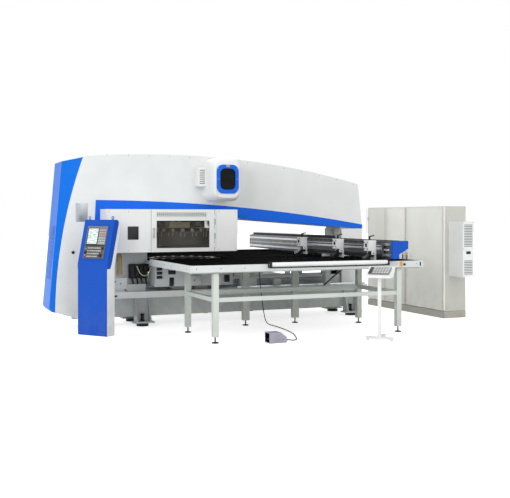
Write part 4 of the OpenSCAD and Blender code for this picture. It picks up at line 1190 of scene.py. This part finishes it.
@dataclass
class Cabinet:
    """The switch cabinet's handles, gear and cooler fittings."""

    x: float = 5685.0
    edges: tuple[float, ...] = (-1000.0, 0.0, 600.0, 1200.0)
    free: tuple[float, ...] = (-60.0, 60.0, 660.0)
    door_z: tuple[float, float] = (114.0, 1676.0)
    door_t: float = 25.2
    plinth_z: float = 106.0
    back: float = 372.0
    shelves: tuple[float, ...] = (260.0, 520.0, 780.0, 1040.0, 1300.0)
    cooler_face: float = -1340.0
    cooler_x: tuple[float, float] = (90.0, 290.0)
    cooler_vents: tuple[tuple[float, float], ...] = ((1086, 1424), (676, 892))
    cooler_show_z: tuple[float, float] = (980.0, 1020.0)
    cooler_screw_z: tuple[float, ...] = (655.0, 915.0, 1060.0, 1445.0)
    gear_wide: tuple[int, ...] = (22, 36, 54, 72)
    gear_deep: tuple[int, ...] = (60, 80, 110)
    gear_tall: tuple[int, ...] = (90, 110, 140)
    gear_gap: tuple[int, ...] = (2, 2, 10)

    def build(self) -> None:
        """Makes the pieces on the doors, behind them and on the cooler."""
        for i, body in enumerate((Body.DOOR_1, Body.DOOR_2, Body.DOOR_3)):
            self._door(i, body)
        side = self.edges[0]
        foot = Shape().block((self.x - 1.5, side - 1.5, 1), (self.x + 0.5, self.edges[-1], self.plinth_z))
        foot.block((self.x - 1.5, side - 1.5, 1), (self.x + 400, side + 0.5, self.plinth_z))
        foot.piece("plinth_skin", Body.PRESS, PLINTH)
        self._gear()
        self._cooler()

    def _door(self, i: int, body: Body) -> None:
        """Makes one door's grip, inner field, and dark lines along its edges that are painted shadow of the door gaps.

        Args:
            i: which door it is, from 0.
            body: the door's body.
        """
        x, y, (low, high) = self.x, self.free[i], self.door_z
        grip = Shape().block((x - 40, y - 9, 800), (x - 25.5, y + 9, 925), 5)
        grip.rod((x - 25.5, y, 945), (x - 34, y, 945), 9, bevel=2)
        grip.piece(f"door_grip_{i + 1}", body, BLACK_PLASTIC)
        lo, hi = self.edges[i] + 30, self.edges[i + 1] - 30
        Shape().block((x - 1.2, lo, 150), (x + 0.4, hi, 1650), 0.5).piece(f"door_field_{i + 1}", body, LIT_CABINET_DOOR)
        # Dark lines on the door's face along its edges: painted shadow of the gaps between the doors.
        face, lo, hi = x - self.door_t, self.edges[i] + 2.2, self.edges[i + 1] - 2.2
        edge = Shape().block((face - 0.7, lo, low), (face, lo + 5, high))
        if body is not Body.DOOR_2:
            edge.block((face - 0.7, hi - 5, low), (face, hi, high))
        edge.piece(f"door_gap_shadow_{i + 1}", body, SEAM_AND_GAP_SHADOW)

    def _gear(self) -> None:
        """Makes the mounting plates, the switchgear and the cable ducts behind the doors."""
        plate, gear, ducts = Shape(), Shape(), Shape()
        rng = random.Random(11)
        back = self.x + self.back
        front = back - 4
        for lo, hi in zip(self.edges, self.edges[1:]):
            plate.block((front, lo + 50, 180), (back, hi - 50, 1620))
            for z in self.shelves:
                ducts.block((back - 54, lo + 60, z - 70), (front, hi - 60, z - 30), 2)
                y = lo + 70
                while y < hi - 150:
                    wide, deep, tall = (rng.choice(c) for c in (self.gear_wide, self.gear_deep, self.gear_tall))
                    gear.block((back - deep, y, z), (front, y + wide, z + tall), 3)
                    y += wide + rng.choice(self.gear_gap)
        plate.piece("mounting_plates", Body.PRESS, GROUND)
        gear.piece("switchgear", Body.PRESS, PANEL_GREY)
        ducts.piece("cable_ducts", Body.PRESS, SOFT_WHITE)

    def _cooler(self) -> None:
        """Makes the cooler's filters, display and screws."""
        face, (x0, x1) = self.cooler_face, (self.x + v for v in self.cooler_x)
        dark = Shape()
        for low, high in self.cooler_vents:
            dark.plate((x0 + 25, low, x1 - 25, high), face + 9, face + 11.8)
        dark.piece("cooler_filters", Body.PRESS, PANEL_GREY)
        low, high = self.cooler_show_z
        show = Shape().plate((x0 + 60, low, x1 - 60, high), face - 4, face + 1, 2)
        show.piece("cooler_display", Body.PRESS, BLACK_PLASTIC)
        places = [(x, face, z) for x in (x0 + 12, x1 - 12) for z in self.cooler_screw_z]
        Shape().screws(places, (0, -1, 0), 5, 2.5).piece("cooler_screws", Body.PRESS, GROUND)


@dataclass
class Housing:
    """Screws, seams and small plates on the press covers, the guard and the turret."""

    depth: float = 550.0
    crown_x: float = 1700.0
    crown_z: float = 2415.0
    crown_fall: float = 26000.0
    post_x: float = 720.0
    guard_face: float = -400.0
    guard_z: tuple[float, float] = (1075.0, 1600.0)
    door_z: tuple[float, float] = (1048.0, 1629.0)
    window_x: tuple[float, float] = (1397.0, 2149.0)
    window_z: tuple[float, float] = (1106.0, 1469.0)
    gasket: float = 6.0
    turret: tuple[float, float] = (1980.0, 275.0)
    stations: int = 20
    station_r: float = 450.0
    turret_r: float = 541.0
    die_r: float = 27.0
    die_z: tuple[float, float] = (929.6, 934.0)
    strip_z: tuple[float, float] = (1248.0, 1316.0)
    strip_turn: float = 0.05
    collar_r: tuple[float, float] = (200.0, 372.0)
    collar_z: tuple[float, float] = (1319.5, 1366.0)
    hood: tuple[float, float] = (2410.0, 2060.0)
    hood_face: float = -466.0
    louvres: int = 24
    louvre_z: float = 680.0
    louvre_pitch: float = 31.0
    end_foot: tuple[float, float] = (10.0, 290.0)
    end_lean: float = 170.0 / 1990.0
    louvre_y: tuple[float, float] = (108.0, 442.0)
    plug: Box = ((331, 0, 1043), (331, -8, 1043))
    plug_r: float = 22.0
    cover_plate: Box = ((366, -2.5, 1460), (530, 0.5, 1716))
    guard_plate: Edges = (986, 1219, 1137, 1399)
    guard_screw_x: tuple[float, ...] = (730.0, 1000.0, 1285.0, 2300.0, 2550.0)
    seam_x: tuple[tuple[float, float], ...] = ((1313, 1316), (2232, 2236))
    sill: Edges = (1380, 1098, 2166, 1140)
    lock_case: Box = ((1640, -190, 1374), (1940, 125, 1456))
    lock_foot: Box = ((1660, 46, 1450), (1920, 124, 1534.8))
    lock_port_y: float = -150.0
    lock_ports: tuple[tuple[float, float, float], ...] = ((1700, 1500, 26), (1790, 1486, 18))
    back_plates: tuple[Edges, ...] = ((1385, 1372, 2240, 1560), (1381, 1000, 1480, 1374))
    sensor: Box = ((2096, -30, 1402), (2160, 34, 1456))
    vent_mesh: Box = ((2097, -142, 1992), (2183, -139.5, 2215))

    def build(self) -> None:
        """Makes the covers' screws, the guard's trim, the turret's fittings and the louvres."""
        self._covers()
        self._guard()
        self._turret()
        self._hood()
        self._louvres()

    def _covers(self) -> None:
        """Makes the covers' screws, the plug and the small plate."""
        screws = Shape()
        sides = ((0, (0, -1, 0)), (self.depth, (0, 1, 0)))
        for x in range(800, 5000, 300):
            top = self.crown_z - max(x - self.crown_x, 0) ** 2 / self.crown_fall
            for y, out in sides:
                screws.screws([(x, y, top - 30)], out, 7, 3)
        for z in range(200, 1700, 250):
            for y, out in sides:
                behind_guard = y == 0 and z > 1100
                screws.screws([] if behind_guard else [(self.post_x, y, z)], out, 7, 3)
        screws.piece("cover_screws", Body.PRESS, GROUND)
        Shape().rod(*self.plug, self.plug_r, bevel=3).piece("cover_plug", Body.PRESS, RUBBER)
        Shape().block(*self.cover_plate, 1.0).piece("cover_plate", Body.PRESS, GROUND)

    def _guard(self) -> None:
        """Makes the guard's plate and screws, the door's seams and the turret lock behind them."""
        face, (x0, x1), (z0, z1), w = self.guard_face, self.window_x, self.window_z, self.gasket
        plate = Shape().plate(self.guard_plate, face - 3, face + 0.5, 1.0)
        plate.piece("guard_plate", Body.PRESS, BLACK_PLASTIC)
        gasket = Shape()
        strips = ((x0 - w, z0 - w, x0, z1 + w), (x1, z0 - w, x1 + w, z1 + w),
                  (x0, z0 - w, x1, z0), (x0, z1, x1, z1 + w))
        for strip in strips:
            gasket.plate(strip, face - 2, face + 0.5, 1.0)
        gasket.piece("window_gasket", Body.GUARD_DOOR, RUBBER)
        seam, (low, high) = Shape(), self.door_z
        for lo, hi in self.seam_x:
            seam.plate((lo, low, hi, high), face - 0.8, face + 0.4)
        seam.piece("door_seams", Body.GUARD_DOOR, SEAM_AND_GAP_SHADOW)
        sill = Shape().plate(self.sill, face + 26, face + 34, 2)
        sill.piece("door_inner_sill", Body.GUARD_DOOR, BLACKENED)
        lock = Shape().block(*self.lock_case, 6).block(*self.lock_foot)
        lid, y = self.lock_case[1][2], self.lock_port_y
        for x, top, r in self.lock_ports:
            lock.rod((x, y, lid), (x, y, top), r, bevel=3)
        lock.piece("turret_lock_casing", Body.PRESS, CREAM)
        places = [(x, face, z) for x in self.guard_screw_x for z in self.guard_z]
        Shape().screws(places, (0, -1, 0), 6, 3).piece("guard_screws", Body.PRESS, GROUND)

    def _turret(self) -> None:
        """Makes the dies' rings, the station strips, the collar and what stands behind the turret."""
        dies, strips = Shape(), Shape()
        for k in range(self.stations):
            turn = 2 * math.pi * k / self.stations
            x, y = self._round(turn, self.station_r)
            dies.rod((x, y, self.die_z[0]), (x, y, self.die_z[1]), self.die_r, sides=16, bevel=1)
            for half in (-self.strip_turn, self.strip_turn):
                x, y = self._round(turn + half, self.turret_r)
                strips.rod((x, y, self.strip_z[0]), (x, y, self.strip_z[1]), 5, sides=8)
        dies.piece("die_rings", Body.TURRET_LOWER, TURNED)
        strips.piece("station_strips", Body.TURRET_UPPER, GROUND)
        back = Shape()
        for edges in self.back_plates:
            back.plate(edges, 33, 40.5, 1.5)
        back.piece("turret_back_plate", Body.PRESS, OXIDE)
        collar = Shape().ring(self.turret, *self.collar_r, *self.collar_z)
        collar.piece("turret_collar", Body.TURRET_UPPER, OXIDE)
        Shape().block(*self.sensor, 3).piece("sensor_box", Body.PRESS, SOFT_WHITE)

    def _round(self, turn: float, r: float) -> tuple[float, float]:
        """Returns the place at an angle and a radius about the turret's axis."""
        return self.turret[0] + r * math.cos(turn), self.turret[1] + r * math.sin(turn)

    def _hood(self) -> None:
        """Makes the ram hood's tab, screws and vent mesh."""
        x, z = self.hood
        tab = Shape().block((x - 28, self.hood_face - 12, z + 165), (x + 28, self.hood_face + 3, z + 202), 4)
        tab.piece("hood_tab", Body.PRESS, TAN)
        places = [(x + dx, self.hood_face, z + dz) for dx in (-141, 141) for dz in (-150, 0, 150)]
        Shape().screws(places, (0, -1, 0), 6, 3).piece("hood_screws", Body.PRESS, GROUND)
        Shape().block(*self.vent_mesh).piece("hood_vent_mesh", Body.PRESS, PANEL_GREY)

    def _louvres(self) -> None:
        """Makes the end cover's louvre lips."""
        lips, (foot_x, foot_z) = Shape(), self.end_foot
        for k in range(self.louvres):
            z = self.louvre_z + self.louvre_pitch * k
            x = foot_x + (z - foot_z) * self.end_lean
            lip = [(x + 1.6, z + 16), (x - 12, z + 2), (x - 12, z), (x + 0.6, z + 9)]
            lips.prism(lip, Plane.XZ, *self.louvre_y)
        lips.piece("end_louvres", Body.PRESS, END_BLUE)


@dataclass
class FloorItems:
    """Fittings of the pedal and the remote stand."""

    pedal_y: float = -2180.0
    liner_half: float = 63.8
    liner_t: float = 1.0
    liner: tuple[tuple[float, float], ...] = (
        (2251, 12.3), (2251, 121.7), (2397, 121.7), (2473.6, 65.6), (2473.6, 12.3))
    ribs: int = 7
    stand: tuple[float, float, float] = (3600.0, -2550.0, -45.0)
    stand_z: float = 822.0
    stand_slope: float = 82.0 / 200.0
    stand_panel: Box = ((-132, 12, -2), (132, 200, 5))
    stand_edge: Box = ((-128, 18, 4), (-92, 194, 8))

    def build(self) -> None:
        """Makes the pedal's and the stand's fittings."""
        self._pedal()
        self._stand()

    def _pedal(self) -> None:
        """Makes the cord's strain relief, the dark liner in the hood and the treadle's ribs."""
        y, t = self.pedal_y, self.liner_t
        relief = Shape().rod((2499, y, 25), (2525, y + 0.7, 23.8), 10, 7, sides=16)
        for k in range(4):
            relief.rod((2501 + k * 6, y, 25), (2504 + k * 6, y, 24.9), 11 - k * 0.7, sides=16)
        relief.piece("cord_relief", Body.PRESS, RUBBER)
        liner, half = Shape(), self.liner_half
        for lo in (y - half, y + half - t):
            liner.prism(self.liner, Plane.XZ, lo, lo + t)
        inner = [(x - t, z - t if z > self.liner[0][1] else z + t) for x, z in self.liner]
        for k in range(-4, 0):
            wall = [self.liner[k], self.liner[k + 1], inner[k + 1], inner[k]]
            liner.prism(wall, Plane.XZ, y - half + t - 0.2, y + half - t + 0.2)
        liner.piece("pedal_liner", Body.PRESS, OXIDE)
        ribs = Shape()
        for k in range(self.ribs):
            ribs.block((2270 + k * 20, y - 52, 50.5), (2277 + k * 20, y + 52, 53.5), 1.0)
        ribs.piece("treadle_ribs", Body.TREADLE, RUBBER)

    def _stand(self) -> None:
        """Makes the remote stand's panel and keys."""
        head = turned(*self.stand) @ Matrix.Translation((0, -80, self.stand_z))
        head = head @ Matrix.Rotation(math.atan(self.stand_slope), 4, "X")
        Shape(head).block(*self.stand_panel, 2).piece("stand_panel", Body.PRESS, PANEL_GREY)
        Shape(head).block(*self.stand_edge, 2).piece("stand_edge", Body.PRESS, BLACK_PLASTIC)
        keys = Shape(head)
        for x in range(-76, 128, 34):
            for y in range(26, 194, 42):
                keys.block((x, y, 4), (x + 26, y + 30, 9), 2)
        keys.piece("stand_keys", Body.PRESS, KEY_GREY)


# The studio.


@dataclass
class Studio:
    """Pale floor, soft lights and an even white surround."""

    floor_reach: float = 60.0
    floor_drop: float = 0.0005
    near: float = 3.5
    far: float = 11.0
    lift: float = 0.7
    lights: tuple[tuple[str, Vec, float, float], ...] = (
        ("key", (-14.5, -11.5, 6.5), 9.0, 860.0), ("fill", (2.0, -13.5, 9.0), 10.0, 430.0),
        ("back", (0.0, 9.0, 7.5), 8.0, 260.0))
    aim: tuple[float, float, float] = (0.0, 0.0, 0.9)
    world_strength: float = 0.92
    white: Colour = (1.0, 1.0, 1.0, 1.0)
    black: Colour = (0.0, 0.0, 0.0, 1.0)

    def build(self) -> None:
        """Makes the floor, the lights and the world."""
        self._floor()
        for name, place, size, power in self.lights:
            self._light(name, place, size, power)
        self._world()
        bpy.context.scene.view_settings.view_transform = "Standard"

    def _floor(self) -> None:
        """Makes the floor, which fades to white away from the press."""
        bm = bmesh.new()
        bmesh.ops.create_grid(bm, x_segments=2, y_segments=2, size=self.floor_reach)
        mesh = bpy.data.meshes.new("floor")
        bm.to_mesh(mesh)
        bm.free()
        obj = bpy.data.objects.new("floor", mesh)
        obj.location.z = -self.floor_drop
        bpy.context.scene.collection.objects.link(obj)
        g = Graph.of_material("floor")
        away = g.node("ShaderNodeVectorMath", {0: g.coords()}, out="Value", operation="LENGTH")
        pale = g.blend(away.ramp(self.near, self.far), (self.lift, self.lift, self.lift, 1.0), self.white)
        cloud = g.noise(0.6, 3.0).ramp(*CLOUDY)
        g.set(Base_Color=g.blend(cloud, linear(226, 226, 226), linear(232, 232, 231)), Roughness=0.8)
        g.set(Emission_Color=g.blend(g.plain_rays(), self.black, pale), Emission_Strength=1.0)
        mesh.materials.append(g.owner)

    def _light(self, name: str, place: Vec, size: float, power: float) -> None:
        """Makes one round soft light that faces the press.

        Args:
            name: its name.
            place: where it stands, in metres.
            size: how wide it is, in metres.
            power: its power, in watts.
        """
        data = bpy.data.lights.new(name, "AREA")
        data.shape = "DISK"
        data.size = size
        data.energy = power
        obj = bpy.data.objects.new(name, data)
        obj.location = place
        obj.rotation_euler = (Vector(self.aim) - Vector(place)).to_track_quat("-Z", "Y").to_euler()
        bpy.context.scene.collection.objects.link(obj)

    def _world(self) -> None:
        """Makes a surround that lights softly and is seen as white."""
        world = bpy.data.worlds.new("surround")
        bpy.context.scene.world = world
        g = Graph(world, "Background")
        g.set(Color=linear(242, 243, 244), Strength=self.world_strength)
        white = g.node("ShaderNodeBackground", {"Color": self.white, "Strength": 1.0})
        soft = Sock(g, g.shader.outputs[0])
        both = g.node("ShaderNodeMixShader", {0: g.plain_rays(), 1: soft, 2: white})
        g.feed(g.tree.nodes["World Output"].inputs[0], both)


def main() -> None:
    """Builds the scene, with the camera and the cord first."""
    logging.basicConfig(level=logging.INFO)
    Camera().build()
    PedalCord().build()
    PALETTE.dress_nodes()
    for assembly in (Housing(), Console(), SheetFeed(), Tables(), Underside(), Cabinet(), FloorItems()):
        LOG.info("%s:", type(assembly).__name__)
        assembly.build()
    Studio().build()


if __name__ == "__main__":
    main()
